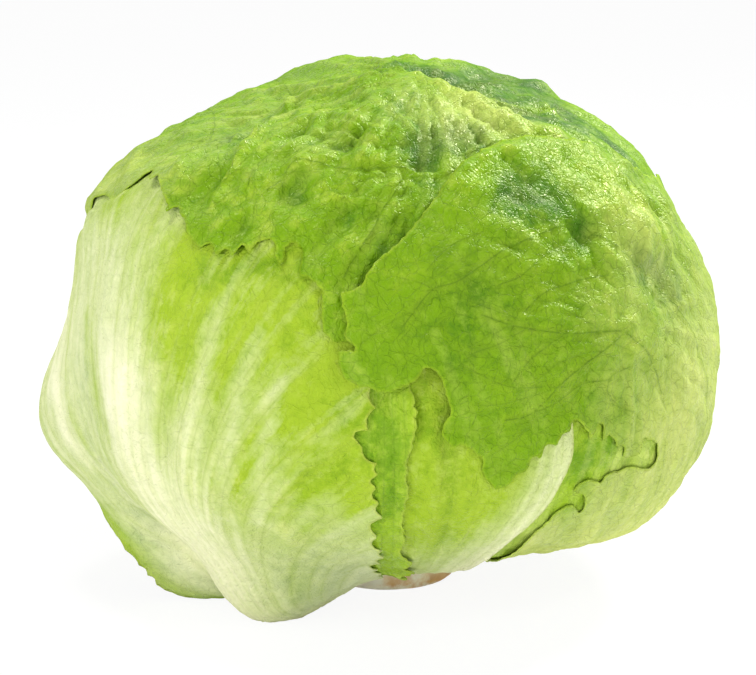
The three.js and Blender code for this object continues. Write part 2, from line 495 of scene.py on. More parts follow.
def ball_points(spacing):
    """Points spread evenly over the whole sphere of MAP_RADIUS, about a spacing apart."""
    count = int(4 * math.pi * MAP_RADIUS**2 / (POINT_AREA * spacing**2))
    number = np.arange(count) + 0.5
    height = 1 - 2 * number / count
    turn = number * math.pi * (1 + 5**0.5)
    ring = np.sqrt(1 - height**2)
    return np.stack([ring * np.cos(turn), ring * np.sin(turn), height], 1) * MAP_RADIUS


class FlatMap:
    """A flat map of the ball about one place that keeps all shapes, so that triangles stay well shaped."""

    def __init__(self, at):
        self.out, self.right, self.up = axes_at(at)

    def to_flat(self, points):
        ways = unit(points)
        scale = 2 * MAP_RADIUS / (1 + ways @ self.out)
        return np.stack([ways @ self.right * scale, ways @ self.up * scale], 1)

    def to_ball(self, flat):
        size = (flat**2).sum(1) / (4 * MAP_RADIUS**2)
        out = (1 - size) / (1 + size)
        side = (1 + out) / (2 * MAP_RADIUS)
        return (
            out[:, None] * self.out
            + (flat[:, :1] * side[:, None]) * self.right
            + (flat[:, 1:] * side[:, None]) * self.up
        ) * MAP_RADIUS


def outline_test(outline):
    """A function that tells how far points lie inside the outline: positive is inside."""
    forward = unit(np.roll(outline, -1, 0) - np.roll(outline, 1, 0))
    outward = np.cross(forward, unit(outline))

    def depth_inside(points):
        distance, number = nearest(points, outline)
        side = ((points - outline[number]) * outward[number]).sum(1)
        return np.where(side < 0, distance, -distance)

    return depth_inside


def vein_rows(lines, offset):
    """Points on the veins and in two rows beside them, so that a vein is one crisp line of the mesh."""
    rows = []
    for line, strength in lines:
        heading = unit(np.gradient(line, axis=0))
        side = np.cross(unit(line), heading) * offset
        rows += [line, line + side, line - side]
    return unit(np.vstack(rows)) * MAP_RADIUS


def triangulate(leaf, outline, lines, depth_inside):
    """The leaf's points on the sphere and its triangles, anticlockwise seen from outside."""
    flat_map = FlatMap(leaf["at"])
    fine, coarse = leaf["spacing"]
    middle, reach = leaf["fine_zone"]
    clouds = []
    for spacing, is_fine in ((fine, True), (coarse, False)):
        cloud = ball_points(spacing)
        near = degrees_apart(unit(cloud), direction(*middle)) < reach
        cloud = cloud[near if is_fine else ~near]
        cloud = cloud[degrees_apart(unit(cloud), flat_map.out) < LEAF_REACH]
        clouds.append(cloud[depth_inside(cloud) > spacing * MARGIN_ROOM])
    cloud = np.vstack(clouds)
    if lines:
        rows = vein_rows(lines, VEIN_WIDTH)
        rows = rows[depth_inside(rows) > MARGIN_ROOM]
        clear, _ = nearest(cloud, rows)
        cloud = np.vstack([cloud[clear > VEIN_ROOM], rows])
    flat_outline = flat_map.to_flat(outline)
    flat = np.vstack([flat_outline, flat_map.to_flat(cloud)])
    count = len(outline)
    ring = [(i, (i + 1) % count) for i in range(count)]
    made = geometry.delaunay_2d_cdt(flat.tolist(), ring, [list(range(count))], 1, 1e-5)
    points = np.array([tuple(p) for p in made[0]])
    faces = np.array([f for f in made[2] if len(f) == 3])
    used = np.unique(faces)
    renumber = np.zeros(len(points), int)
    renumber[used] = np.arange(len(used))
    points = points[used]
    faces = renumber[faces]
    a, b, c = (points[faces[:, k]] for k in range(3))
    turn = (b[:, 0] - a[:, 0]) * (c[:, 1] - a[:, 1]) - (b[:, 1] - a[:, 1]) * (c[:, 0] - a[:, 0])
    faces[turn < 0] = faces[turn < 0][:, ::-1]
    return flat_map.to_ball(points), faces[np.abs(turn) > 1e-9]


# ---- Relief ----
# Each layer of bumps is (wavelength in mm, height in mm, seed step).
PUFFS = [(9, 0.8, 3), (4.2, 0.32, 4)]
GRAIN = (1.8, 0.1, 5)
SWAY = [(34, 1.1, 1), (16, 0.8, 2)]
# Unevenness of the puffs between veins, of the margin's waves and of its curl: (wavelength, seed step).
VEIN_PUFFS = (11, 6)
FRILL_WAVES = (9, 7)
CURL_WAVES = (22, 8)

# How far a vein, the halo beside it and the valley between two puffs reach from the vein, in mm.
HALO_REACH = 1.5
VALLEY_REACH = 3.2

# Folds in two sizes, (size, share of the height, seed step), and how often they change in a mm of length.
FOLD_SIZES = [(1.0, 0.6, 1), (0.45, 0.4, 2)]
FOLD_CHANGE = 0.014
# The length of the quilt's puffs in mm, and the pitch of a fan's folds and puffs in degrees.
QUILT_LENGTH = 24.0
FAN_FOLD = 9.0
FAN_QUILT = 7.0

# How strongly dents and creases, and the finer relief, are painted as shade: darker in hollows, lighter on
# ridges.
MARKED_DEPTH = 1.1
FINE_DEPTH = 2.6


def crease_height(points, creases):
    """Long narrow ridges and grooves: each is (places, half width in mm, height in mm)."""
    height = np.zeros(len(points))
    for places, width, most in creases:
        line = smooth_line(places, max(0.6, width * 0.5))
        share = np.linspace(0, 1, len(line))
        strength = np.sin(np.pi * np.clip(share, 0.06, 0.94)) ** 0.5
        low = line.min(0) - 3 * width
        high = line.max(0) + 3 * width
        near = np.flatnonzero(((points > low) & (points < high)).all(1))
        if len(near) == 0:
            continue
        gap = np.linalg.norm(points[near, None, :] - line[None], axis=2)
        closest = gap.argmin(1)
        away = gap[np.arange(len(near)), closest] / width
        height[near] += most * strength[closest] * np.exp(-(away**2))
    return height


def fan_coordinates(points, focus):
    """Where a point lies in the fan that spreads from a focus: its angle in degrees and distance in mm."""
    ways = unit(points)
    out, right, up = axes_at(focus)
    angle = np.degrees(np.arctan2(ways @ right, ways @ up))
    distance = np.arccos(np.clip(ways @ out, -1, 1)) * MAP_RADIUS
    return angle, distance


def long_folds(across, along, pitch, seed):
    """Folds from -1 to 1 that run lengthwise, about a pitch apart, in two sizes."""
    height = np.zeros(len(across))
    for size, share, step in FOLD_SIZES:
        place = np.stack([across / (pitch * size), along * FOLD_CHANGE, np.full(len(across), 3.0)], 1)
        height += share * noise(place, 1.0, seed + step)
    return height


def quilting(across, along, pitch, seed):
    """Puffs about zero with narrow valleys between them, two to three times as long as they are wide."""
    place = np.stack([across / pitch, along / QUILT_LENGTH, np.full(len(across), 7.0)], 1)
    return billows(place, 1.0, seed) - BILLOW_MEAN


def skin_bumps(points, bumpy, seed):
    """Rounded puffs in two sizes, and a fine grain over them."""
    height = np.zeros(len(points))
    for wavelength, most, step in PUFFS:
        height += bumpy * most * (billows(points, wavelength, seed + step) - BILLOW_MEAN)
    wavelength, most, step = GRAIN
    return height + bumpy * most * noise(points, wavelength, seed + step)


def vein_relief(leaf, points, lines, seed):
    """The height of the veins with the puffs between them, how much of a vein each point is, and its halo."""
    if not lines:
        return np.zeros((3, len(points)))
    distance, number = nearest(points, np.vstack([line for line, _ in lines]))
    strength = np.concatenate([np.full(len(line), strength) for line, strength in lines])[number]
    vein = strength * np.exp(-((distance / VEIN_WIDTH) ** 2))
    halo = strength * np.exp(-((distance / HALO_REACH) ** 2))
    wavelength, step = VEIN_PUFFS
    uneven = 0.6 + noise(points, wavelength, seed + step)
    puff = (1 - np.exp(-((distance / VALLEY_REACH) ** 2))) * uneven
    return leaf["vein_height"] * vein + leaf["puff"] * puff, vein, halo


def fan_relief(leaf, points):
    """The height of folds that spread in fans, the folds themselves, and the place in the first fan."""
    height = np.zeros(len(points))
    rib = np.zeros(len(points))
    stream = np.zeros((len(points), 2))
    for number, (focus, most, fade_from, fade_to) in enumerate(leaf["fans"]):
        seed = leaf["seed"] * 31 + number * 7
        angle, away = fan_coordinates(points, focus)
        fade = smooth_step(2, 14, away) * (1 - smooth_step(fade_from, fade_to, away))
        folds = long_folds(angle, away, FAN_FOLD, seed) * fade
        height += most * folds
        height += leaf["quilt"] * fade * quilting(angle, away, FAN_QUILT, seed + 3)
        rib += folds
        if number == 0:
            stream = np.stack([angle, away], 1)
    return height, rib, stream


def stream_relief(leaf, points):
    """The same for folds that follow the leaf's guide lines."""
    seed = leaf["seed"] * 31
    across, along = stream_coordinates(leaf, points)
    rib = long_folds(across, along, leaf["rib_pitch"], seed)
    quilt = quilting(across, along, leaf["rib_pitch"] * 1.3, seed + 5) * smooth_step(6, 30, along)
    height = leaf["rib_height"] * rib + leaf["quilt"] * quilt
    return height, rib, np.stack([across, along], 1)


def relief(leaf, points, inside, lines):
    """The height of every point over the leaf's smooth skin, with what the material needs to know."""
    ways = unit(points)
    seed = leaf["seed"] * 100
    bumpy = leaf["bumpy"] + swell_height(ways, leaf["bumpy_spots"])
    vein_height, vein, halo = vein_relief(leaf, points, lines, seed)
    folded = stream_relief if leaf["guides"] else fan_relief
    fold_height, rib, stream = folded(leaf, points)
    height = skin_bumps(points, bumpy, seed) + vein_height + fold_height
    frill_height, frill_reach = leaf["frill"]
    wavelength, step = FRILL_WAVES
    height += frill_height * np.exp(-inside / frill_reach) * noise(points, wavelength, seed + step)
    marked = swell_height(ways, leaf["dents"]) + crease_height(points, leaf["creases"])
    # Painted shade: the relief is kept here to darken the colour in its hollows and lighten it on its ridges.
    folds = marked / MARKED_DEPTH + height / FINE_DEPTH
    height += marked + swell_height(ways, leaf["swells"])
    for wavelength, most, step in SWAY:
        height += bumpy * most * noise(points, wavelength, seed + step)
    return height, {
        "folds": folds,
        "vein": vein,
        "halo": halo,
        "rib": rib,
        "stream": np.column_stack([stream, np.zeros(len(points))]),
        "inside": inside,
    }


# ---- Layers: a leaf tucks under the ones that lie over it ----
class Layers:
    """The inner faces of the leaves that are already made, which a later leaf has to stay under."""

    # The cells that the leaves are compared in, in mm, and how often the wanted drop is smoothed.
    CELL = 1.3
    BLURS = 3

    def __init__(self):
        self.ways = []
        self.levels = []

    def add(self, points):
        radius = np.linalg.norm(points, axis=1)
        ways = points / radius[:, None]
        self.ways.append(ways)
        self.levels.append(radius - ball_radius(ways))

    def drop(self, leaf, ways, radii):
        """How far each point of a leaf has to sink to clear everything over it, and how covered it is."""
        if not self.ways:
            return np.zeros(len(ways)), np.zeros(len(ways))
        sheet = SheetGrid(leaf["at"], self.CELL)
        ceiling = sheet.lowest(np.vstack(self.ways), np.concatenate(self.levels))
        covered = blur(blur(np.isfinite(ceiling).astype(float)))
        own = sheet.highest(ways, radii - ball_radius(ways))
        both = np.isfinite(ceiling) & np.isfinite(own)
        need = np.zeros_like(own)
        need[both] = np.maximum(own[both] + CLEARANCE - ceiling[both], 0)
        smooth = need
        for _ in range(self.BLURS):
            smooth = blur(smooth)
        need = np.maximum(need, smooth)
        return sheet.sample(need, ways), sheet.sample(covered, ways)


class SheetGrid:
    """Square cells over a flat map of the ball that keeps the distances from one place."""

    # Cells on a side, enough for the map of the whole ball.
    SIZE = 420

    def __init__(self, at, cell):
        self.out, self.right, self.up = axes_at(at)
        self.cell = cell

    def place(self, ways):
        angle = np.arccos(np.clip(ways @ self.out, -1, 1))
        scale = MAP_RADIUS * angle / np.maximum(np.sin(angle), 1e-9) / self.cell
        return ways @ self.right * scale + self.SIZE / 2, ways @ self.up * scale + self.SIZE / 2

    def cells(self, ways):
        x, y = self.place(ways)
        x = np.clip(x.astype(int), 0, self.SIZE - 1)
        y = np.clip(y.astype(int), 0, self.SIZE - 1)
        return x, y

    def lowest(self, ways, values):
        """The lowest value in each cell."""
        grid = np.full((self.SIZE, self.SIZE), np.inf)
        np.minimum.at(grid, self.cells(ways), values)
        return filled(filled(grid, np.minimum), np.minimum)

    def highest(self, ways, values):
        """The highest value in each cell."""
        grid = np.full((self.SIZE, self.SIZE), -np.inf)
        np.maximum.at(grid, self.cells(ways), values)
        return filled(filled(grid, np.maximum), np.maximum)

    def sample(self, grid, ways):
        """The grid's value at each place, blended between the four cells about it."""
        x, y = self.place(ways)
        x = np.clip(x - 0.5, 0, self.SIZE - 1.001)
        y = np.clip(y - 0.5, 0, self.SIZE - 1.001)
        i, j = x.astype(int), y.astype(int)
        u, v = x - i, y - j
        near = grid[i, j] * (1 - v) + grid[i, j + 1] * v
        far = grid[i + 1, j] * (1 - v) + grid[i + 1, j + 1] * v
        return near * (1 - u) + far * u


def filled(grid, choose):
    """Empty cells take the lowest or highest value of the four cells beside them."""
    grown = grid.copy()
    for axis in (0, 1):
        for shift in (-1, 1):
            grown = choose(grown, np.roll(grid, shift, axis))
    return np.where(np.isfinite(grid), grid, grown)


def blur(grid):
    """Each cell becomes a weighted mean of itself and the cells around it."""
    for axis in (0, 1):
        grid = (np.roll(grid, 1, axis) + 2 * grid + np.roll(grid, -1, axis)) / 4
    return grid


layers = Layers()


# ---- The leaf's shell ----
# How much of the blade's thickness is left at the margin, and how far in it is whole, in mm.
MARGIN_THICKNESS = 0.55
MARGIN_TAPER = 5
# The thickening of the foot ends here, in degrees from the foot, and is whole this far inside the margin.
FOOT_ZONE = (18, 50)
FOOT_TAPER = 8


def vertex_normals(points, faces):
    a, b, c = (points[faces[:, k]] for k in range(3))
    across = np.cross(b - a, c - a)
    normals = np.zeros_like(points)
    for k in range(3):
        for axis in range(3):
            normals[:, axis] += np.bincount(faces[:, k], across[:, axis], len(points))
    return unit(normals + 1e-12)


def rim_edges(faces):
    """The edges that belong to one triangle only, in that triangle's direction."""
    edges = np.vstack([faces[:, [0, 1]], faces[:, [1, 2]], faces[:, [2, 0]]])
    ordered = np.sort(edges, 1)
    _, first, count = np.unique(ordered, axis=0, return_index=True, return_counts=True)
    return edges[first[count == 1]]


def curl_margin(points, ways, inside, away, reach, amount):
    """The strip along the margin rolled outwards on an arc. away points to the margin at each point."""
    along = np.clip(reach - inside, 0, None)
    bend = np.maximum(amount, 1e-4) / reach
    slide = np.sin(bend * along) / bend - along
    lift = (1 - np.cos(bend * along)) / bend
    return points + away * slide[:, None] + ways * lift[:, None]


def thickness_of(leaf, points, inside):
    """Thin at the margin, and thicker towards the foot."""
    blade = leaf["blade"] * (MARGIN_THICKNESS + (1 - MARGIN_THICKNESS) * smooth_step(0, MARGIN_TAPER, inside))
    near_foot = 1 - smooth_step(*FOOT_ZONE, degrees_from_foot(points))
    return blade + leaf["foot"] * near_foot * smooth_step(0, FOOT_TAPER, inside)


def shell(points, faces, thickness):
    """A closed shell: the outer sheet, the inner sheet under it and the rim between them."""
    inner = points - vertex_normals(points, faces) * thickness[:, None]
    outer = points.copy()
    ground = -CENTRE_HEIGHT
    inner[:, 2] = np.maximum(inner[:, 2], ground + 0.8 * thickness)
    outer[:, 2] = np.maximum(outer[:, 2], ground)
    count = len(points)
    a, b = rim_edges(faces).T
    wall = np.vstack([
        np.stack([b, a, a + count], 1),
        np.stack([b, a + count, b + count], 1),
    ])
    all_faces = np.vstack([faces, faces[:, ::-1] + count, wall])
    return np.vstack([outer, inner]), all_faces, inner


def new_object(name, points, faces, values=None):
    """A Blender object from points in nominal mm about the ball's middle."""
    world = (points + [0, 0, CENTRE_HEIGHT]) * SCALE
    mesh = bpy.data.meshes.new(name)
    mesh.from_pydata(world.tolist(), [], faces.tolist())
    mesh.update()
    mesh.shade_smooth()
    for key, value in (values or {}).items():
        if value.ndim == 1:
            layer = mesh.attributes.new(key, "FLOAT", "POINT")
            layer.data.foreach_set("value", value.astype(np.float32))
        else:
            layer = mesh.attributes.new(key, "FLOAT_VECTOR", "POINT")
            layer.data.foreach_set("vector", value.astype(np.float32).ravel())
    made = bpy.data.objects.new(name, mesh)
    bpy.context.scene.collection.objects.link(made)
    return made


# What a leaf is unless its own description says otherwise.
LEAF_DEFAULTS = dict(
    # The outline: its point spacing, (bay depth, tooth spacing), and where the teeth begin and are whole.
    edge_step=0.8,
    left_teeth=(0.0, 4.0),
    right_teeth=(0.0, 4.0),
    tooth_start=(18, 40),
    # The size against the ball, and how deep the leaf lies under the ball's surface.
    scale=1.0,
    depth=0.0,
    # The shape: swells change it only, and dents and creases are painted as shade too.
    swells=[],
    dents=[],
    creases=[],
    # Listed veins, veins along the guides, (spacing, length) of branches, and room for the small ones.
    veins=[],
    stream_veins=0,
    branching=(8, 16),
    vein_room=3.4,
    vein_height=0.12,
    # The relief: puffs between the veins, bumps everywhere and at some spots, and the folds. A fan of folds
    # is (focus, height, where it begins to fade, where it ends). Guides run from the foot to the tip.
    puff=0.5,
    bumpy=1.0,
    bumpy_spots=[],
    fans=[],
    guides=None,
    width=140,
    rib_height=0.6,
    rib_pitch=6.0,
    quilt=0.5,
    # The margin's waves (height, reach) and curl (reach, amount), and the thickness of blade and foot.
    frill=(0.6, 4.5),
    curl=(4.0, 0.5),
    blade=0.55,
    foot=1.2,
    # The mesh: (fine, coarse) point spacing, and the (place, reach) where it is fine.
    spacing=(1.3, 2.0),
    fine_zone=((0, 0), 60),
    # The tones: paleness from 0 to 1 in all, at the foot, on ribs, at spots and along strokes, and streaks.
    # Some spots are painted highlights, painted light or painted shade.
    pale=0.0,
    pale_foot=(40, 75),
    rib_pale=0.2,
    pale_spots=[],
    pale_lines=[],
    streaky=0.08,
    # Strokes of painted shade that darken a hollow further, and strokes that paint light where they are
    # negative.
    deep_lines=[],
)


def toward_margin(points, ways, margin):
    """The direction along the ball from each point to its nearest place on the margin."""
    toward = margin - points
    toward = toward - ways * (toward * ways).sum(1)[:, None]
    return toward / np.maximum(np.linalg.norm(toward, axis=1), 1e-6)[:, None]


def curl_amount(leaf, points, covered):
    """How much the margin curls at each point: unevenly, and not where another leaf lies over it."""
    wavelength, step = CURL_WAVES
    uneven = np.clip(0.6 + 1.2 * noise(points, wavelength, leaf["seed"] * 100 + step), 0, 1.6)
    return leaf["curl"][1] * uneven * np.clip(1 - 1.6 * covered, 0, 1)


def build_leaf(material, **described):
    """Makes one leaf from its description, under the leaves that are already there."""
    leaf = dict(LEAF_DEFAULTS, **described)
    rng = np.random.default_rng(leaf["seed"])
    outline = leaf_outline(leaf, rng)
    rough_test = outline_test(resample(outline, 2.5))
    lines = leaf_veins(leaf, lambda point: rough_test(point[None])[0] > 1.0, rng)
    points, faces = triangulate(leaf, outline, lines, outline_test(outline))
    inside, number = nearest(points, outline)
    ways = unit(points)
    height, values = relief(leaf, points, inside, lines)
    radius = ball_radius(ways) * leaf["scale"] - leaf["depth"] + height
    sunk, covered = layers.drop(leaf, ways, radius)
    raised = ways * (radius - sunk)[:, None]
    toward = toward_margin(points, ways, outline[number])
    shaped = curl_margin(raised, ways, inside, toward, leaf["curl"][0], curl_amount(leaf, points, covered))
    shell_points, shell_faces, inner = shell(shaped, faces, thickness_of(leaf, points, inside))
    layers.add(inner)
    values.update(leaf_tones(leaf, points, values))
    both = {key: np.concatenate([value, value]) for key, value in values.items()}
    made = new_object(leaf["name"] + "_look", shell_points, shell_faces, both)
    made.data.materials.append(material)
    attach(made, "root")
    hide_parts(leaf["name"])
    return made


# How pale the foot is, where ribs begin to turn pale and where streaks begin, in degrees from the foot.
FOOT_PALE = 0.9
RIB_ZONE = (24, 50)
STREAK_ZONE = (34, 64)
FOOT_STREAKS = 0.2
HOLLOW_RANGE = (-0.7, 3.2)
STROKE_STEP = 2.0


def strokes(points, lines):
    """The sum of soft strokes, each (places, half width in mm, amount)."""
    total = np.zeros(len(points))
    for places, width, most in lines:
        distance, _ = nearest(points, smooth_line(places, STROKE_STEP))
        total += most * np.exp(-((distance / width) ** 2))
    return total


def leaf_tones(leaf, points, values):
    """How pale each point is, how much painted shade its hollow gets, and how much it is streaked."""
    foot = degrees_from_foot(points)
    pale = leaf["pale"] + FOOT_PALE * (1 - smooth_step(*leaf["pale_foot"], foot))
    pale += leaf["rib_pale"] * values["rib"] * smooth_step(*RIB_ZONE, foot)
    # The spots add real paleness, and at some places painted highlights, painted light or painted shade.
    pale += swell_height(unit(points), leaf["pale_spots"]) + strokes(points, leaf["pale_lines"])
    # Painted shade: darker in the relief's hollows and along the shade strokes, lighter on its ridges.
    hollow_shade = strokes(points, leaf["deep_lines"]) - values.pop("folds")
    streaks = FOOT_STREAKS + (1 - FOOT_STREAKS) * smooth_step(*STREAK_ZONE, foot)
    return {
        "pale": np.clip(pale, 0, 1),
        "hollow_shade": np.clip(hollow_shade, *HOLLOW_RANGE),
        "streaky": leaf["streaky"] * streaks,
    }


# ---- Materials ----
def rgb(red, green, blue):
    """A colour given as 0 to 255 values, as the linear values that shaders use."""
    channels = []
    for value in (red, green, blue):
        s = value / 255
        channels.append(s / 12.92 if s <= 0.04045 else ((s + 0.055) / 1.055) ** 2.4)
    return (*channels, 1.0)


class Nodes:
    """Short ways to add and join the nodes of one material."""

    def __init__(self, name):
        self.material = bpy.data.materials.new(name)
        self.material.use_nodes = True
        self.tree = self.material.node_tree
        self.shader = self.tree.nodes["Principled BSDF"]

    def add(self, kind, **inputs):
        made = self.tree.nodes.new(kind)
        for key, value in inputs.items():
            self.put(made.inputs[key.replace("_", " ")], value)
        return made

    def put(self, socket, value):
        if isinstance(value, bpy.types.NodeSocket):
            self.tree.links.new(value, socket)
        else:
            socket.default_value = value

    def attribute(self, name, output="Fac"):
        made = self.add("ShaderNodeAttribute")
        made.attribute_name = name
        return made.outputs[output]

    def scaled(self, vector, x, y, z):
        made = self.add("ShaderNodeVectorMath")
        made.operation = "MULTIPLY"
        self.put(made.inputs[0], vector)
        made.inputs[1].default_value = (x, y, z)
        return made.outputs[0]

    def math(self, operation, first, second=0.5, clamp=False):
        made = self.add("ShaderNodeMath")
        made.operation = operation
        made.use_clamp = clamp
        self.put(made.inputs[0], first)
        self.put(made.inputs[1], second)
        return made.outputs[0]

    def ramp(self, value, low, high, to_low=0.0, to_high=1.0):
        """Changes softly from to_low, where value is low or less, to to_high."""
        made = self.add("ShaderNodeMapRange")
        made.interpolation_type = "SMOOTHSTEP"
        self.put(made.inputs["Value"], value)
        for key, number in (("From Min", low), ("From Max", high), ("To Min", to_low), ("To Max", to_high)):
            made.inputs[key].default_value = number
        return made.outputs[0]

    def mix(self, share, first, second):
        made = self.add("ShaderNodeMix")
        made.data_type = "RGBA"
        self.put(made.inputs["Factor"], share)
        self.put(made.inputs["A"], first)
        self.put(made.inputs["B"], second)
        return made.outputs["Result"]

    def noise(self, vector, scale, detail=3.0, roughness=0.55):
        made = self.add("ShaderNodeTexNoise", Scale=scale, Detail=detail, Roughness=roughness)
        self.put(made.inputs["Vector"], vector)
        return made.outputs["Fac"]

    def vary(self, value, amount):
        """A noise value, whose middle part is stretched to run from minus to plus the amount."""
        return self.ramp(value, 0.3, 0.7, -amount, amount)

    def cell_edges(self, vector, scale):
        """The distance to the edges of random cells."""
        made = self.add("ShaderNodeTexVoronoi", Scale=scale)
        made.feature = "DISTANCE_TO_EDGE"
        self.put(made.inputs["Vector"], vector)
        return made.outputs["Distance"]


# The tones of the darkest, the deep and the light green. The middle green has tone 0.
DARKEST_TONE = -1.0
DEEP_TONE = -0.7
LIGHT_TONE = 0.7

# How much the painted shade of a hollow, the broad patches and the mottling change the tone, and how strong
# streaks are.
HOLLOW_TONE = -0.29
PATCH_TONE = 0.1
MOTTLE_TONE = 0.22
STREAK_AMOUNT = 0.42

# Noise and cell scales, in patches to the metre.
WARP_SCALE = 170.0
PATCH_SCALE = 55.0
MOTTLE_SCALE = 260.0
NET_SCALE = 330.0
COARSE_NET_SCALE = 120.0
GRAIN_SCALE = 900.0
FINE_SCALE = 1400.0

# How far the cells of the net are warped, and how high the bump is, in metres.
WARP = 0.006
BUMP_HEIGHT = 0.0006


def leaf_green(n, tone, vein, deep, middle, light):
    """The green for a tone, from the veins' dark green through deep and middle to light."""
    green = n.mix(n.ramp(tone, DEEP_TONE, 0.0), deep, middle)
    green = n.mix(n.ramp(tone, 0.0, LIGHT_TONE), green, light)
    return n.mix(n.ramp(tone, DARKEST_TONE, DEEP_TONE), vein, green)


def leaf_streaks(n, patches):
    """Pale streaks of two widths that run along the leaf's streams, strong on some patches only."""
    stream = n.attribute("stream", "Vector")
    broad = n.noise(n.scaled(stream, 0.17, 0.018, 1), 1.0, 2.0)
    narrow = n.noise(n.scaled(stream, 0.45, 0.04, 1), 1.0, 3.0)
    streaks = n.math("ADD", n.vary(broad, STREAK_AMOUNT), n.vary(narrow, STREAK_AMOUNT))
    streaks = n.math("MULTIPLY", streaks, n.ramp(patches, 0.35, 0.6, 0.35, 1.2))
    return n.math("MULTIPLY", streaks, n.attribute("streaky"))


def leaf_net(n, moved, net_dark):
    """The lines of the fine net of cells and of a coarser one."""
    fine = n.ramp(n.cell_edges(moved, NET_SCALE), 0.0, 0.07, 1.0, 0.0)
    coarse = n.ramp(n.cell_edges(moved, COARSE_NET_SCALE), 0.0, 0.035, 1.0, 0.0)
    return n.math("ADD", n.math("MULTIPLY", fine, net_dark), n.math("MULTIPLY", coarse, net_dark * 0.5))


def leaf_roughness(n, place, roughness):
    """Uneven wax, and duller skin where it is seen at a grazing angle."""
    rough = n.ramp(n.noise(place, GRAIN_SCALE, 2.0), 0.25, 0.75, roughness - 0.09, roughness + 0.12)
    grazing = n.add("ShaderNodeLayerWeight", Blend=0.5).outputs["Facing"]
    return n.math("ADD", rough, n.ramp(grazing, 0.66, 0.9, 0.0, 0.4), clamp=True)


def leaf_bump(n, place, moved, lines):
    """The skin's finest grain, with the net sunk into it."""
    grain = n.math("MULTIPLY", n.cell_edges(moved, GRAIN_SCALE), 0.5)
    fine = n.math("MULTIPLY", n.noise(place, FINE_SCALE, 2.0), 0.4)
    bump = n.add("ShaderNodeBump", Strength=0.9, Distance=BUMP_HEIGHT)
    n.put(bump.inputs["Height"], n.math("SUBTRACT", n.math("ADD", grain, fine), lines))
    return bump.outputs[0]


def warped(n, place):
    """The place moved about a little, so that cells drawn there are uneven."""
    wobble = n.add("ShaderNodeTexNoise", Scale=WARP_SCALE, Detail=3.0)
    n.put(wobble.inputs["Vector"], place)
    shift = n.add("ShaderNodeVectorMath")
    shift.operation = "MULTIPLY_ADD"
    n.put(shift.inputs[0], wobble.outputs["Color"])
    shift.inputs[1].default_value = (WARP, WARP, WARP)
    n.put(shift.inputs[2], place)
    return shift.outputs[0]


def leaf_material(name, vein, deep, middle, light, cream, roughness, vein_dark, gloss, net_dark):
    """Leaf green that pales towards the foot, with its veins, its fine net of cells, painted shade in its
    hollows, a painted glow of light along its margin, and a waxy gloss.
    """
    n = Nodes(name)
    place = n.add("ShaderNodeTexCoord").outputs["Object"]
    moved = warped(n, place)
    patches = n.noise(place, PATCH_SCALE, 4.0)
    mottle = n.noise(place, MOTTLE_SCALE, 5.0, 0.7)
    tone = n.math("ADD", n.vary(patches, PATCH_TONE), n.vary(mottle, MOTTLE_TONE))
    # Painted shade: the hollow darkens the green.
    tone = n.math("ADD", tone, n.math("MULTIPLY", n.attribute("hollow_shade"), HOLLOW_TONE))
    green = leaf_green(n, tone, vein, deep, middle, light)
    pale = n.attribute("pale")
    streaky = n.math("ADD", pale, leaf_streaks(n, patches))
    streaky = n.math("ADD", streaky, n.ramp(mottle, 0.2, 0.8, -0.08, 0.08), clamp=True)
    colour = n.mix(streaky, green, cream)
    colour = n.mix(n.math("MULTIPLY", n.attribute("halo"), 0.25), colour, light)
    lines = leaf_net(n, moved, net_dark)
    veins = n.math("MAXIMUM", n.math("MULTIPLY", n.attribute("vein"), 0.95), lines)
    veins = n.math("MULTIPLY", veins, n.ramp(pale, 0.3, 1.0, 1.0, 0.25))
    colour = n.mix(n.math("MULTIPLY", veins, vein_dark), colour, vein)
    # Painted light: the margin is lightened towards the light green, as if light shone through the thin edge.
    painted_margin_glow = n.ramp(n.attribute("inside"), 0.1, 0.8, 0.4, 0.0)
    n.put(n.shader.inputs["Base Color"], n.mix(painted_margin_glow, colour, light))
    n.put(n.shader.inputs["Roughness"], leaf_roughness(n, place, roughness))
    n.put(n.shader.inputs["Normal"], leaf_bump(n, place, moved, lines))
    n.shader.inputs["Specular IOR Level"].default_value = gloss
    n.shader.inputs["Specular Tint"].default_value = (1.0, 1.0, 0.4, 1.0)
    return n.material


def stem_material():
    """Cut lettuce stem: cream and fibrous, browned where the knife went through."""
    n = Nodes("stem")
    place = n.add("ShaderNodeTexCoord").outputs["Object"]
    fibres = n.noise(place, 240.0, 4.0)
    spots = n.noise(place, 90.0, 5.0, 0.6)
    body = n.mix(fibres, rgb(252, 244, 210), rgb(255, 254, 240))
    rust = n.mix(fibres, rgb(242, 206, 134), rgb(186, 118, 58))
    height = n.add("ShaderNodeSeparateXYZ")
    n.put(height.inputs[0], place)
    near_cut = n.ramp(height.outputs["Z"], 0.0012, 0.0085, 1.0, 0.0)
    browned = n.math("MULTIPLY", near_cut, n.ramp(spots, 0.44, 0.6), clamp=True)
    n.put(n.shader.inputs["Base Color"], n.mix(browned, body, rust))
    n.shader.inputs["Roughness"].default_value = 0.55
    n.shader.inputs["Subsurface Weight"].default_value = 0.1
    n.shader.inputs["Subsurface Radius"].default_value = (1.0, 0.8, 0.5)
    n.shader.inputs["Subsurface Scale"].default_value = 0.002
    bump = n.add("ShaderNodeBump", Strength=0.5, Distance=0.0005)
    n.put(bump.inputs["Height"], fibres)
    n.put(n.shader.inputs["Normal"], bump.outputs[0])
    return n.material


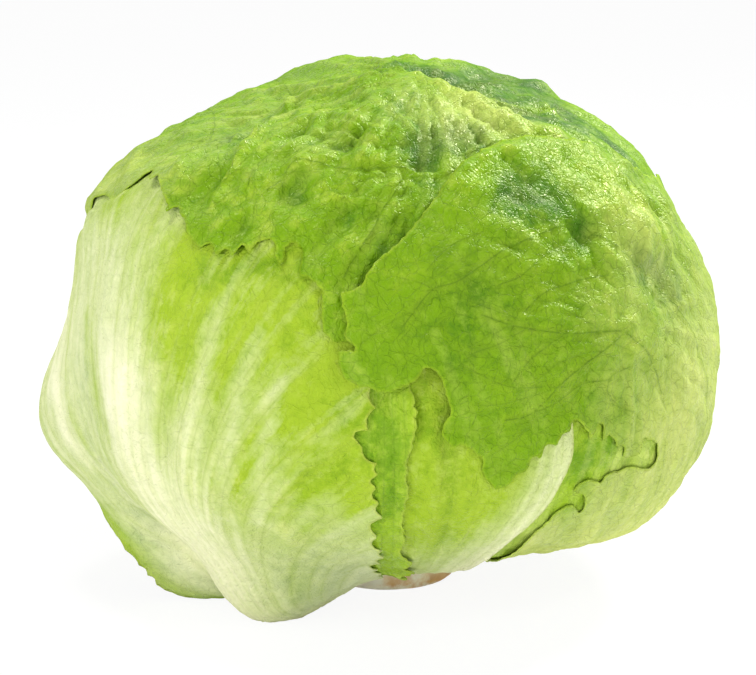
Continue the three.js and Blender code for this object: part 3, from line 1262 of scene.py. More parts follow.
# ---- The leaf materials ----
green_leaf = leaf_material(
    "green_leaf",
    vein=rgb(40, 92, 0),
    deep=rgb(60, 112, 0),
    middle=rgb(112, 156, 2),
    light=rgb(162, 190, 44),
    cream=rgb(214, 222, 126),
    roughness=0.36,
    vein_dark=0.62,
    gloss=0.36,
    net_dark=0.2,
)
pale_leaf = leaf_material(
    "pale_leaf",
    vein=rgb(116, 152, 20),
    deep=rgb(108, 150, 10),
    middle=rgb(154, 184, 40),
    light=rgb(194, 208, 90),
    cream=rgb(244, 243, 208),
    roughness=0.42,
    vein_dark=0.45,
    gloss=0.28,
    net_dark=0.15,
)
frill_leaf = leaf_material(
    "frill_leaf",
    vein=rgb(78, 128, 0),
    deep=rgb(96, 146, 4),
    middle=rgb(150, 186, 34),
    light=rgb(190, 210, 84),
    cream=rgb(230, 234, 156),
    roughness=0.42,
    vein_dark=0.5,
    gloss=0.3,
    net_dark=0.16,
)
inner_leaf = leaf_material(
    "inner_leaf",
    vein=rgb(176, 196, 92),
    deep=rgb(190, 205, 105),
    middle=rgb(218, 224, 140),
    light=rgb(236, 238, 176),
    cream=rgb(244, 243, 214),
    roughness=0.48,
    vein_dark=0.3,
    gloss=0.4,
    net_dark=0.1,
)


# ---- The leaves, from the outside in ----
def wrapper_right():
    """The green leaf round the right side and the front, torn open low on the front."""
    return build_leaf(
        green_leaf,
        name="wrapper_right",
        slot="green_leaf",
        seed=3,
        at=(60, 8),
        left=[
            (47, -74), (37, -56), (29.2, -46), (26.6, -38), (25.4, -31), (27, -25.5), (28.8, -21.5),
            (31, -18.4), (33.5, -17), (35.5, -18.5), (36.2, -19.5), (35.8, -16.5), (35, -15.2),
            (32.8, -14.2), (34, -12.6), (36, -12),
            (38, -13), (39, -11.8), (42, -11.6), (46, -11.6), (48.5, -12.4), (51, -12.2), (52, -10.5),
            (50.5, -8.6), (48, -7.4), (46, -7), (45.6, -9.4), (41.6, -9.2), (41.4, -7.4), (39.5, -6.6),
            (38, -4.6), (36.8, -5.6), (36, -2.4), (34.2, -4.8), (33, -2.8), (31.2, -1.2), (30.2, -3.2),
            (28.5, -3.6), (28, -5), (26.3, -4.8), (25.2, -7), (24.2, -6.6), (23, -9.5), (21.5, -9.6),
            (20.5, -11), (18, -12), (15.5, -9), (15.2, -6.5), (14.2, -5.5), (12, -3.8), (10.6, -4.2),
            (8.8, -3), (8.4, -0.6), (9.5, 1.5), (9, 4.5), (8, 7.5), (6, 9), (4.5, 7), (2, 6), (0, 5),
            (-4, 5.8), (-7, 7), (-8.3, 9.5), (-8, 12), (-5.5, 12), (-7.5, 14), (-7.2, 16.5), (-8, 19),
            (-8.3, 21), (-5.5, 22), (-3, 25.5), (2, 30), (8, 36), (13, 41),
        ],
        right=[
            (116, -74), (124, -45), (127, -28), (128, -11), (127, 2), (125, 14), (122, 20), (116, 24.5),
            (106, 29), (92, 33), (80, 35.5), (68, 39), (58, 43.5), (40, 47.5), (27, 47.5), (18, 45),
        ],
        left_teeth=(0.5, 3.0),
        right_teeth=(1.2, 6.0),
        swells=[
            (8, 24, 16, 2.4), (40, 44, 14, 2), (74, 40, 12, -1.6), (84, 2, 26, -1.3),
            (48, -59, 13, -5.0), (70, -56, 14, -3.5), (86, -70, 20, -3.6), (50, -46, 8, -2),
            (105, 28, 14, 0.2), (124, 6, 16, 1.5), (28, -50, 8, -2.6),
        ],
        bumpy_spots=[(34, 32, 18, 0.7), (60, 36, 18, 0.5), (20, 4, 18, -0.3)],
        dents=[
            (19, 41, 2.4, 1.2), (38, 28.5, 1.6, -2.6), (48.5, 22.5, 2.6, -1.7), (54.5, 19, 2.2, -1.5),
            (46, 9, 3.6, 0.9), (47, 12, 1.3, -1.0), (45, 6, 1.4, -0.9), (54, 29, 4, 0.8),
            (19, 32, 4.5, 0.9), (26, 23, 3, 0.8), (12, 16, 5, -0.8), (28, 37, 5.5, -1.6),
            (25.5, 30, 2.6, 0.9), (62, 14, 4, -1.0), (46.5, 32, 2.8, 1.2), (54, 26, 2.8, 1.2),
            (50.5, 41, 3, 1.0), (15, 38, 1.6, 0.9),
        ],
        creases=[
            ([(37, 29.5), (39.5, 26.5), (43, 22.5)], 0.9, 0.9),
            ([(35, 14), (40, 13.2), (47, 13)], 1.0, 0.7),
            ([(13, 40), (20, 43.5), (27, 45), (35, 45.5)], 2.2, 1.0),
            ([(9.5, 0.5), (11, 1.2), (13, 1.5)], 0.6, 0.5),
            ([(53, 37.5), (56.5, 31.5), (59.5, 26.5), (62, 20.5)], 1.5, 1.3),
            ([(59, 38), (62, 33), (65, 27), (67, 20)], 1.9, -1.4),
            ([(74, 34), (71, 31), (70, 26)], 1.6, -1.2),
            ([(58, 42), (66, 38.5), (74, 36)], 1.6, 0.8),
            ([(12, 38), (19, 43), (27, 45.5)], 1.2, 0.8),
            ([(22, 34), (28, 33), (34, 33.5)], 1.6, 0.9),
        ],
        veins=[
            ([(41, 12), (35.5, 12.5), (29.5, 13), (22.5, 14.5), (19, 15.5), (15.5, 17)], 1.0),
            ([(22.5, 14.5), (18, 12.5), (13, 11)], 0.7),
            ([(40, 21), (34, 21), (31, 20.5), (27.5, 20), (24.5, 18.5), (22.5, 17)], 0.9),
            ([(34, 26), (29.5, 26), (25, 24), (22.5, 22.5), (18.5, 21.5)], 0.8),
            (
                [
                    (33, 30), (26, 28.5), (20.5, 27), (15.5, 24.5), (11.5, 22.5), (7.5, 21.5),
                    (4.5, 18.5), (2.5, 16),
                ],
                1.0,
            ),
            ([(7.5, 21.5), (5.5, 22.5), (2, 23.5)], 0.7),
            ([(16, 30), (11.5, 28.5), (8.5, 26.5), (6.5, 24.5)], 0.7),
            ([(29, 12.8), (25.5, 11), (22.5, 9), (20, 6)], 0.8),
            ([(40, 11), (35.5, 9), (32.5, 7.5), (29, 5.5), (25.5, 2.5), (23, 0.5), (19, 0)], 1.0),
            ([(38, 4.5), (32.5, 4.5), (28.5, 2.5), (24.5, 1), (21.5, 0)], 0.8),
            ([(42, 6), (38, 5), (37.5, 2.5), (38.5, 0.5), (43, -1.5)], 0.7),
            ([(29, 4.5), (24, 5), (19.5, 5.5), (15, 7.5), (12.5, 9)], 0.7),
            ([(60, -40), (56, -20), (52, -2), (48, 6), (41, 12)], 0.9),
            ([(76, -42), (72, -20), (66, 0), (58, 14), (48, 22), (40, 28)], 0.9),
            ([(90, -44), (88, -20), (82, 0), (74, 18), (64, 30), (52, 38)], 0.9),
            ([(104, -42), (106, -18), (102, 2), (96, 18), (86, 30)], 0.8),
            ([(68, -10), (58, -4), (50, -4)], 0.6),
            ([(82, 0), (90, 12), (98, 24)], 0.6),
        ],
        branching=(7.5, 18),
        fans=[((72, -66), 0.8, 60, 120), ((43, 13), 0.7, 30, 62)],
        pale_foot=(42, 80),
        # Paler skin, with painted highlights at (50, 27) and (54, 38).
        pale_spots=[
            (72, -24, 20, 0.46), (62, 3, 14, 0.24), (84, 12, 16, 0.24), (14, -4, 14, -0.2),
            (50, 27, 5, 0.34), (54, 38, 7, 0.05), (40, 16, 5, 0.18), (38.5, 4, 3.5, 0.15),
            (44, -14, 7, 0.34), (54, -6, 7, 0.22), (29, -24, 4, 0.4),
        ],
        # Painted shade in the hollows of the blade.
        deep_lines=[
            ([(16, 10), (28, -2), (40, -8)], 14.0, 0.35),
            ([(26, 37), (25, 29)], 5.0, 0.8),
            ([(23.5, 33), (27, 34), (34, 33.5)], 6.0, 1.8),
            ([(52, 20), (57, 20), (58, 16)], 5.0, 1.8),
            ([(29, 25), (33, 25)], 4.0, 0.7),
            ([(8, 29), (14, 24), (12, 10)], 9.0, 0.45),
        ],
        streaky=0.14,
        quilt=0.7,
        foot=0.3,
        spacing=(1.0, 1.7),
        fine_zone=((30, 12), 55),
        frill=(0.5, 4.5),
        curl=(3.0, 0.25),
    )


def wrapper_crown():
    """The green leaf that comes up the back, lies over the crown and hangs down the front."""
    return build_leaf(
        green_leaf,
        name="wrapper_crown",
        slot="green_leaf",
        seed=5,
        at=(180, 60),
        left=[
            (150, -74), (142, -45), (132, -20), (121, 4), (112, 20), (96, 28), (66, 31), (38, 28),
            (17, 23), (4, 18), (-5, 13),
        ],
        right=[
            (-150, -74), (-142, -45), (-131, -20), (-119, 2), (-110, 12), (-103, 16.5), (-97, 19),
            (-93, 20.5), (-91, 23.5), (-91.5, 26), (-88, 23.5), (-84.5, 24.5), (-83.5, 28), (-81, 29.5),
            (-78.5, 28.5), (-75.5, 30.5), (-72, 33.5), (-68, 36), (-64, 38), (-61, 36), (-57, 37),
            (-53, 35), (-49.5, 33.5), (-47.5, 31), (-45.5, 32.5), (-43, 31), (-41, 30),
            (-39.5, 28), (-36.5, 26.3), (-34.5, 27.2), (-32.5, 25.3), (-30.5, 26.5), (-29, 25.5),
            (-27.5, 27.5), (-25.2, 26.3), (-25, 28), (-23.5, 29), (-22, 28.8), (-21.4, 26.2), (-20.2, 25.2),
            (-19.3, 26), (-19.5, 28.3), (-18, 29), (-16.6, 27), (-16.6, 24), (-15, 23.3), (-13, 22.3),
            (-11.5, 20.5), (-11.3, 17), (-11, 14.5), (-9, 12.8),
        ],
        left_teeth=(0.6, 4.0),
        right_teeth=(0.5, 2.6),
        swells=[
            (-62, 62, 14, -3.2), (-100, 62, 13, -3.0), (95, 68, 11, -2.2), (108, 57, 8, -0.6),
        ],
        dents=[
            (-92, 26, 7, 1.0), (-60, 37, 5, 1.8), (-65, 52, 5, -2.2), (-21, 40, 2.6, -1.9),
            (-21.5, 36.5, 2.4, -1.9), (-11, 49.8, 2.8, -1.8), (-7.5, 34.5, 2.8, -1.6),
            (8, 45.5, 3.0, -2.6), (-41.5, 41.5, 2.0, -1.3), (-40, 38.5, 1.7, -1.2), (5, 84, 9, 1.4),
            (-44.5, 35.5, 2.6, -1.8), (-31, 31, 2.6, -1.5), (-25, 68, 4, -1.4), (-23, 53.5, 3.4, -1.2),
            (-31, 41, 1.8, 1.3), (-25.5, 31.5, 2.2, 1.1), (-33.5, 31, 2.2, 1.1), (-44.5, 63, 4, 1.3),
            (-27.5, 62, 4, 1.3), (-52, 40, 5, 1.0), (-34, 48, 3, 1.1), (-16, 58, 4, 1.1),
            (-8, 57, 5, 1.0), (0, 30, 3.4, -1.4), (-4, 24, 3, -1.8), (-1, 52, 3.4, 1.0),
            (-98, 24.5, 4.0, 2.2), (-88, 27, 4.0, 1.6), (-81, 32, 4.4, 0.8), (-96, 34, 5, 1.6),
        ],
        creases=[
            ([(-57, 51), (-53, 46), (-52, 41)], 1.4, -1.9),
            ([(-61, 48), (-57, 42.5)], 1.3, -1.6),
            ([(-70, 66), (-57, 61), (-49, 56)], 2.2, -2.2),
            ([(-62, 59), (-52, 53), (-46, 46), (-43.5, 40)], 1.6, -1.4),
            ([(-58, 45), (-51, 39), (-46, 35)], 1.8, 1.6),
            ([(-28, 35), (-28.5, 32), (-29, 29.5)], 1.3, -1.4),
            ([(-37, 33), (-39, 37), (-38, 41.5), (-34.5, 43.5)], 1.2, 1.3),
            ([(-24.5, 34.5), (-24.5, 40), (-21, 44), (-17, 43)], 1.1, 1.0),
            ([(-36, 66), (-31, 60), (-31, 53), (-32.5, 46), (-33, 41)], 1.7, -1.2),
            ([(-24, 60), (-20, 55), (-23, 49), (-28, 44)], 1.7, -1.1),
            ([(-4, 56), (-12, 51), (-20, 47)], 1.6, -1.0),
            ([(16, 82), (24.5, 71), (31, 65), (37, 60), (39, 55), (41, 51), (46, 48)], 3.4, 1.9),
            ([(29, 59.5), (31, 56), (33, 52.5)], 1.1, -1.6),
            ([(34, 82), (46, 74), (54, 70), (62, 66)], 6.0, -3.2),
            ([(-106, 15), (-97, 19), (-91, 22), (-84, 25), (-78, 29), (-70, 34.5)], 2.2, -1.5),
            ([(86, 58), (70, 55.5), (61, 54), (56, 50)], 1.3, 2.0),
            ([(80, 54), (73, 51), (75, 47)], 4.0, -2.2),
            ([(86, 44), (80, 41), (80, 37)], 3.6, -1.8),
            ([(4.5, 48), (4, 44.5), (7, 43), (13, 42.8)], 0.9, 1.7),
            ([(-13, 39), (-10, 37.8), (-6, 37.5), (-3, 37)], 0.9, 1.6),
            ([(-90, 69), (-58, 63), (-49, 57.5), (-42.5, 50), (-39.5, 44), (-37.5, 35.5)], 1.5, 2.2),
            ([(-11, 46), (-3, 46.5), (5, 46.5)], 2.0, 1.2),
            ([(-26, 43), (-20, 46.5), (-12, 47)], 2.4, 1.5),
            ([(-32, 33), (-24, 35), (-16, 33)], 2.5, 1.3),
        ],
        veins=[
            (
                [
                    (7, 44.5), (0.5, 44.5), (-8.5, 44), (-13.5, 44.5), (-17, 45), (-21.5, 45),
                    (-23.5, 43.5), (-25, 40.5), (-27, 38.5),
                ],
                1.0,
            ),
            ([(9, 60), (1, 57), (-4, 55.5), (-8.5, 53.5), (-12.5, 50.5)], 0.8),
            ([(-0.5, 64), (-9.5, 61.5), (-14, 56), (-19, 55), (-21, 50.5), (-26, 46.5), (-27.5, 45)], 0.9),
            ([(-36, 68), (-30.5, 60), (-30.5, 53), (-32, 46.5), (-32.5, 43.5), (-32, 39)], 0.9),
            ([(-70.5, 69), (-48, 57.5), (-40.5, 49), (-40, 44.5), (-38, 40), (-40, 37)], 0.8),
            ([(2, 43), (-4, 42), (-7.5, 39.5), (-10, 37.5)], 0.8),
            ([(3, 42), (1, 38.5), (-2, 35), (-2.5, 33.5), (-4.5, 30), (-7, 26), (-8, 24)], 0.9),
            ([(4.5, 41), (2, 37), (1.5, 33)], 0.7),
            ([(180, -50), (178, 0), (172, 50), (140, 78)], 1.0),
            ([(172, -45), (158, 0), (140, 30), (110, 50), (80, 56), (56, 60)], 0.8),
            ([(176, 10), (150, 40), (110, 66), (60, 70)], 0.8),
            ([(-172, -45), (-156, 0), (-138, 30), (-110, 50), (-85, 52), (-66, 46)], 0.8),
            ([(-176, 10), (-150, 44), (-115, 66), (-70, 70)], 0.8),
            ([(176, 40), (-170, 70), (-120, 78)], 0.7),
        ],
        branching=(8.5, 20),
        fans=[((22, 72), 1.1, 62, 105), ((12, 44), 0.6, 24, 50), ((180, -66), 1.0, 90, 150)],
        pale_foot=(36, 76),
        spacing=(1.0, 1.8),
        fine_zone=((-25, 45), 48),
        frill=(1.3, 7.0),
        curl=(5.0, 0.3),
        quilt=1.5,
        bumpy=0.8,
        bumpy_spots=[(-50, 44, 18, 0.5), (30, 66, 22, 0.6)],
        puff=0.9,
        # Paler skin, with painted highlights on the ridge at (24, 60) and (30, 57), and painted light on the
        # margin's lobes at (-96, 25) and (-80, 32).
        pale_spots=[
            (-60, 36, 7, 0.26), (24, 60, 9, 0.22), (30, 57, 6, 0.3), (-96, 25, 8, 0.36),
            (-80, 32, 7, 0.26), (-82, 58, 12, 0.14),
        ],
        # Painted shade in the valleys behind the crown's ridges and in its dents; negative strokes paint
        # light, as on the margin's lobes.
        deep_lines=[
            ([(30, 84), (64, 79), (86, 72.5), (104, 67), (112, 64)], 11.0, 3.2),
            ([(62, 64), (74, 61.5), (86, 58)], 5.0, 2.6),
            ([(40, 59), (50, 56), (60, 54)], 4.0, 1.6),
            ([(40, 66), (49, 60), (56, 56)], 3.5, 1.4),
            ([(11, 50), (17, 51), (22, 51)], 6.0, 3.0),
            ([(0, 58), (4, 62), (10, 65)], 7.0, 1.6),
            ([(-6, 24), (-5, 31)], 5.0, -1.3),
            ([(4, 44), (12, 43.5)], 5.0, -0.9),
            ([(2, 47), (8, 44), (7, 40)], 4.0, 0.8),
            ([(-44, 38), (-34, 38), (-22, 39), (-12, 39)], 5.0, -1.0),
            ([(56, 54), (66, 50), (80, 51), (92, 52)], 5.5, 2.6),
            ([(96, 54), (112, 55), (126, 58)], 7.0, 1.5),
            ([(88, 44), (80, 41), (80, 37)], 5.0, 2.4),
            ([(-106, 15), (-97, 19), (-91, 22), (-84, 25), (-78, 29), (-70, 34.5)], 4.5, -1.6),
        ],
    )


def wrapper_left():
    """The big pale leaf on the left: its broad keel swings from the stem up to the left."""
    return build_leaf(
        pale_leaf,
        name="wrapper_left",
        slot="pale_leaf",
        seed=8,
        at=(-52, -8),
        left=[
            (-46, -74), (-54, -64), (-60, -54.5), (-66, -47.5), (-68.5, -42), (-69.5, -38), (-71.5, -34.5),
            (-76, -30.5), (-84, -27.5), (-94, -23), (-102, -16), (-108, 0), (-106, 20), (-94, 34),
            (-72, 46),
        ],
        right=[
            (2, -74), (-1.5, -56), (-1, -48), (-2, -38), (-0.5, -31), (-2, -25), (-0.5, -20), (-1.5, -13),
            (-1.5, -8), (-4, -4), (-2, 0), (-2, 5), (0, 10), (2, 16), (0, 24), (-10, 36), (-42, 47),
        ],
        left_teeth=(1.8, 4.0),
        right_teeth=(3.0, 5.6),
        tooth_start=(8, 26),
        depth=1.2,
        swells=[
            (-60, -10, 24, 1.8), (-36, -52, 11.2, 14.5), (-90, -14, 10.5, 10.2), (-73, -46, 7.5, 15.5),
            (-73, -33, 6.5, 6.6), (-90, -32, 8, 1.0), (-78, -12, 8, 2.5), (-92, 25, 7, 4.2),
            (-77, 31, 7, 4.6),
        ],
        dents=[
            (-30, 14, 5, -0.8), (-14, -8, 6, -0.7), (-26, -20, 7, 0.6), (-12, -44, 8, -2.5),
            (-14, -62, 8, -3), (-55, -34, 6, -2.2), (-62, -2, 7, -0.8),
        ],
        creases=[
            ([(-30, -62), (-38, -50), (-44, -34), (-48, -18), (-49, -4), (-48, 8)], 7.0, 1.6),
            ([(-50, -46), (-56, -34), (-62, -18), (-66, -4)], 4.0, -1.0),
            ([(-46, -64), (-50, -55), (-54, -46), (-58, -37), (-63, -28)], 3.0, -2.6),
            ([(-22, 19), (-32, 3), (-36, -12), (-33, -30)], 2.6, 0.9),
            ([(-13, 16), (-20, 4), (-26, -12), (-28, -32)], 2.2, 0.7),
            ([(-6, 8), (-12, -1), (-18, -13), (-20, -30)], 2.0, 0.7),
            ([(-40, 24), (-41, 4), (-42, -10)], 2.4, 0.6),
        ],
        guides=[
            [(-46, -70), (-58, -60), (-68, -48), (-80, -32), (-98, -14), (-108, 4)],
            [(-40, -70), (-48, -57), (-58, -42), (-70, -24), (-86, -2), (-98, 18)],
            [(-34, -70), (-42, -55), (-48, -38), (-55, -16), (-62, 6), (-74, 32)],
            [(-28, -70), (-37, -54), (-43, -36), (-47, -18), (-48, 4), (-54, 34)],
            [(-24, -70), (-33, -56), (-39, -37), (-41, -17), (-38, 4), (-30, 34)],
            [(-20, -70), (-30, -56), (-35, -38), (-36, -20), (-31, -1), (-16, 26)],
            [(-16, -70), (-26, -57), (-31, -42), (-30, -27), (-22, -10), (-3, 8)],
            [(-12, -70), (-20, -60), (-24, -50), (-22, -40), (-14, -28), (2, -14)],
            [(-6, -70), (-12, -64), (-15, -58), (-13, -53), (-8, -47), (2, -40)],
        ],
        width=150,
        stream_veins=22,
        rib_height=0.5,
        rib_pitch=6.5,
        rib_pale=0.14,
        pale_lines=[
            ([(-24, -66), (-36, -52), (-40, -30), (-44, -14), (-47.5, -6), (-49.5, 3)], 12.0, 0.6),
            ([(-50, 2), (-53, 8), (-58, 16), (-68, 24)], 9.0, 0.22),
            ([(-36, -22), (-34, -6), (-32, 4), (-31, 14), (-28, 22)], 3.4, 0.34),
            ([(-30, -20), (-27, -5), (-24.5, 8), (-22, 14)], 2.4, 0.2),
            ([(-24, -20), (-21, -6), (-18, 6), (-13, 14), (-9.5, 18)], 2.4, 0.24),
            ([(-84, 0), (-74, -6), (-70, -13), (-62, -18), (-59, -24)], 3.2, 0.25),
            ([(-40, -8), (-40, 4), (-41, 17), (-43, 26)], 4.5, -0.16),
            ([(-14, -12), (-13, 3.5), (-16.5, 11.5), (-21, 20)], 4.0, -0.12),
            ([(-66, 10), (-59, 0), (-54, -8)], 2.5, -0.22),
            ([(-58, -58), (-65, -48), (-69, -38), (-74, -31)], 7.0, -1.0),
        ],
        pale_foot=(24, 84),
        pale=0.22,
        # Paler and greener skin, with painted shade under the crown leaf's margin at (-28, 24), (-20, 25.5)
        # and (-70, 30), and painted light in the shaded hollow behind the keel at (-64, -41) and (-50, -34).
        pale_spots=[
            (-80, 2, 16, 0.35), (-12, -14, 8, 0.12), (-6, -30, 14, -0.1), (-36, -55, 12, -0.6),
            (-1, 12, 6, -0.5), (-8, 2, 8, -0.34), (-36, 17, 8, -0.14), (-30, -42, 9, -0.25),
            (-13, 16, 7, -0.2), (-54, 4, 6, -0.14), (-49, 23, 6, 0.12), (-50, -34, 6, 0.2),
            (-28, 24, 5.5, -0.4), (-20, 25.5, 5, -0.3), (-33, 10, 6, -0.19), (-36, -18, 6, -0.14),
            (-20, -14, 7, -0.14), (-5, -13, 5, -0.2), (-6, 1, 5, -0.25), (-70, 30, 4.5, -0.26),
            (-64, -41, 8, 0.36),
        ],
        # Painted shade under the crown leaf's margin and beside the slit.
        deep_lines=[
            ([(-35, 22.5), (-27, 24.5), (-17, 26)], 5.0, 1.6),
            ([(-14, 20), (-16, 12), (-19, 5)], 4.0, 0.7),
            ([(-8, 3), (-4, 2)], 5.0, 1.6),
        ],
        streaky=0.21,
        quilt=0.3,
        branching=(7, 7),
        vein_room=3.6,
        vein_height=0.06,
        puff=0.15,
        bumpy=0.42,
        spacing=(1.0, 1.8),
        fine_zone=((-38, -8), 60),
        frill=(0.6, 5.0),
        curl=(3.5, 0.35),
        foot=2.2,
    )


def front_frill_leaf():
    """The leaf whose frilled edge shows in the slit between the left and the front leaf."""
    return build_leaf(
        frill_leaf,
        name="front_frill_leaf",
        slot="frill_leaf",
        seed=11,
        at=(-10, -18),
        left=[(-36, -74), (-32, -48), (-28, -30), (-26, -12), (-22, 4), (-14, 12)],
        right=[
            (6, -74), (3, -60), (5, -54), (6.5, -50), (4, -47), (6.5, -43), (6.5, -39), (4, -37), (5.5, -33),
            (3, -30), (3.4, -26), (3, -20), (3.6, -14), (3.4, -8), (4.4, -2), (4.6, 3), (3, 8), (0, 10),
        ],
        left_teeth=(1.0, 4.0),
        right_teeth=(0.7, 3.0),
        tooth_start=(6, 16),
        depth=1.4,
        creases=[
            ([(-2.0, 2), (-2.2, -6), (-1.6, -14), (-1, -22)], 0.8, 0.9),
            ([(2.6, 0), (2.2, -8), (2.2, -16)], 1.0, 0.7),
        ],
        guides=[
            [(-36, -70), (-28, -48), (-22, -28), (-20, -8), (-16, 8)],
            [(-6, -70), (-5, -48), (-4, -28), (-3, -8), (-3, 8)],
            [(6, -70), (5, -48), (4.5, -28), (4, -8), (3, 8)],
        ],
        width=60,
        stream_veins=7,
        rib_height=0.35,
        rib_pitch=4.0,
        branching=(4, 6),
        vein_room=2.6,
        pale_foot=(16, 40),
        bumpy=0.6,
        puff=0.3,
        spacing=(0.85, 1.6),
        fine_zone=((2, -20), 28),
        pale=-0.12,
        # Painted shade down the middle of the slit.
        deep_lines=[([(-3, 4), (-1, -6), (-1, -16)], 8.0, 1.7)],
        frill=(0.9, 4.0),
        curl=(3.0, 0.7),
    )


def front_base_leaf():
    """The pale leaf low on the front, over the stem."""
    return build_leaf(
        pale_leaf,
        name="front_base_leaf",
        slot="pale_leaf",
        seed=13,
        at=(16, -24),
        left=[
            (-20, -74), (-10, -52), (-5, -36), (-4, -22), (-4, -8), (-3, 4), (4, 12),
        ],
        right=[
            (44, -74), (34, -56), (27, -46), (25, -38), (23, -30), (25, -24), (27.5, -19), (29.5, -14),
            (31, -9), (31.3, -3), (30, 4), (24, 10),
        ],
        left_teeth=(0.8, 3.4),
        depth=1.2,
        streaky=0.06,
        swells=[(20, -16, 10, 1.4), (36, -62, 10, -2.0)],
        creases=[([(9, 0), (10, -8), (11, -20), (10, -34)], 2.0, -0.8)],
        guides=[
            [(-12, -70), (-6, -50), (-4, -36), (-3, -20), (-3, -6), (-2, 6)],
            [(8, -70), (8, -52), (9, -36), (10, -20), (11, -4), (12, 8)],
            [(24, -70), (19, -54), (17, -38), (20, -22), (24, -8), (24, 6)],
            [(40, -70), (31, -54), (24, -40), (26, -24), (30, -10), (30, 4)],
        ],
        width=70,
        stream_veins=9,
        rib_height=0.4,
        rib_pitch=5.0,
        rib_pale=0.22,
        pale=-0.28,
        # Painted shade on the top of the leaf, under the margin of the right-hand leaf.
        deep_lines=[([(6, 0), (16, -4), (27, -4)], 14.0, 0.5), ([(5, 9), (6, 0)], 5.0, 0.6)],
        pale_foot=(30, 88),
        pale_lines=[([(30, -66), (24, -46), (25, -28), (29, -14), (31, -4)], 10.0, 0.8)],
        branching=(4, 6),
        vein_room=2.6,
        vein_height=0.06,
        puff=0.15,
        bumpy=0.35,
        spacing=(0.9, 1.6),
        fine_zone=((18, -22), 34),
        frill=(0.3, 4.0),
        curl=(3.0, 0.3),
        foot=0.3,
    )


def front_inner_leaf():
    """The leaf seen through the tear in the right-hand one."""
    return build_leaf(
        frill_leaf,
        name="front_inner_leaf",
        slot="frill_leaf",
        seed=17,
        at=(42, -14),
        left=[(34, -74), (24, -44), (20, -28), (22, -14), (28, -2), (34, 6)],
        right=[(84, -74), (78, -44), (74, -22), (70, -2), (56, 14)],
        left_teeth=(1.0, 4.0),
        depth=0.6,
        dents=[(33, -10, 5, -0.6), (38, -36, 7, 1.5)],
        creases=[
            ([(36, -1), (37, -6), (36, -12), (34, -20)], 1.2, 0.7),
            ([(46, -4), (48, -9), (52, -12)], 1.2, 0.8),
            ([(42, -6), (44, -10), (43, -16)], 1.4, -0.8),
        ],
        guides=[
            [(36, -70), (26, -46), (24, -26), (26, -8), (32, 4)],
            [(54, -70), (48, -46), (44, -26), (44, -8), (44, 8)],
            [(82, -70), (76, -46), (72, -24), (68, -4), (54, 12)],
        ],
        width=80,
        stream_veins=9,
        rib_height=0.4,
        branching=(4, 8),
        pale_foot=(26, 56),
        pale_spots=[(27, -25, 5, 0.35), (45, -12, 5, 0.3)],
        # Painted shade in the tear.
        deep_lines=[([(34, -9), (38, -6)], 5.0, 1.7)],
        spacing=(1.0, 1.8),
        fine_zone=((42, -12), 26),
    )


def back_leaf(name, seed, at, left, right, dents):
    """A ruffled leaf behind the head, between its two edges."""
    return build_leaf(
        frill_leaf,
        name=name,
        slot="frill_leaf",
        seed=seed,
        at=at,
        left=left,
        right=right,
        left_teeth=(1.8, 6.0),
        right_teeth=(1.8, 6.0),
        depth=1.6,
        dents=dents,
        guides=[left, right],
        width=110,
        stream_veins=9,
        rib_height=0.5,
        pale_foot=(34, 84),
        branching=(7, 12),
        vein_room=4.0,
        spacing=(1.3, 1.9),
        fine_zone=(at, 40),
        frill=(1.8, 6.0),
        curl=(6.0, 0.9),
    )


def back_left_leaf():
    """The leaf at the back left, of which a little shows beside the crown leaf."""
    return back_leaf(
        "back_left_leaf",
        19,
        (-115, -8),
        left=[(-148, -74), (-150, -44), (-150, -18), (-146, 6), (-134, 22), (-114, 33)],
        right=[(-88, -74), (-84, -44), (-80, -18), (-76, 8), (-76, 26), (-86, 36)],
        dents=[(-94, 25, 7, 4.5), (-86, 30, 5, 2.5)],
    )


def back_right_leaf():
    """The leaf at the back right."""
    return back_leaf(
        "back_right_leaf",
        23,
        (122, -8),
        left=[(92, -74), (88, -44), (86, -18), (88, 6), (96, 20), (108, 26)],
        right=[(152, -74), (156, -44), (156, -18), (150, 6), (138, 20), (124, 26)],
        dents=[],
    )


INNER_LEAVES = 10
GOLDEN_ANGLE = 137.5
OUTERMOST_SCALE = 0.84
NEST_STEP = 0.042


def nested_leaf(number):
    """One of the nested inner leaves, a golden angle round the stem from the one before."""
    azimuth = number * GOLDEN_ANGLE
    edge = [(58, -66), (76, -40), (92, -12), (94, 16), (84, 42), (62, 64)]
    left = [(azimuth - offset, elevation) for offset, elevation in edge]
    right = [(azimuth + offset, elevation) for offset, elevation in edge]
    middle = [(azimuth, elevation) for _, elevation in edge]
    return build_leaf(
        inner_leaf,
        name=f"inner_leaf_{number + 1}",
        slot="inner_leaf",
        seed=40 + number,
        at=(azimuth, 4),
        left=left,
        right=right,
        left_teeth=(1.5, 6.0),
        right_teeth=(1.5, 6.0),
        edge_step=1.8,
        scale=OUTERMOST_SCALE - NEST_STEP * number,
        guides=[left, middle, right],
        width=160,
        rib_height=0.7,
        rib_pitch=9.0,
        pale_foot=(30, 90),
        spacing=(2.6, 2.6),
        bumpy=1.2 - 0.05 * number,
        curl=(8.0, 0.2),
        blade=0.8,
        foot=1.0,
    )


PROFILE_POINTS = 90
STEM_SIDES = 96


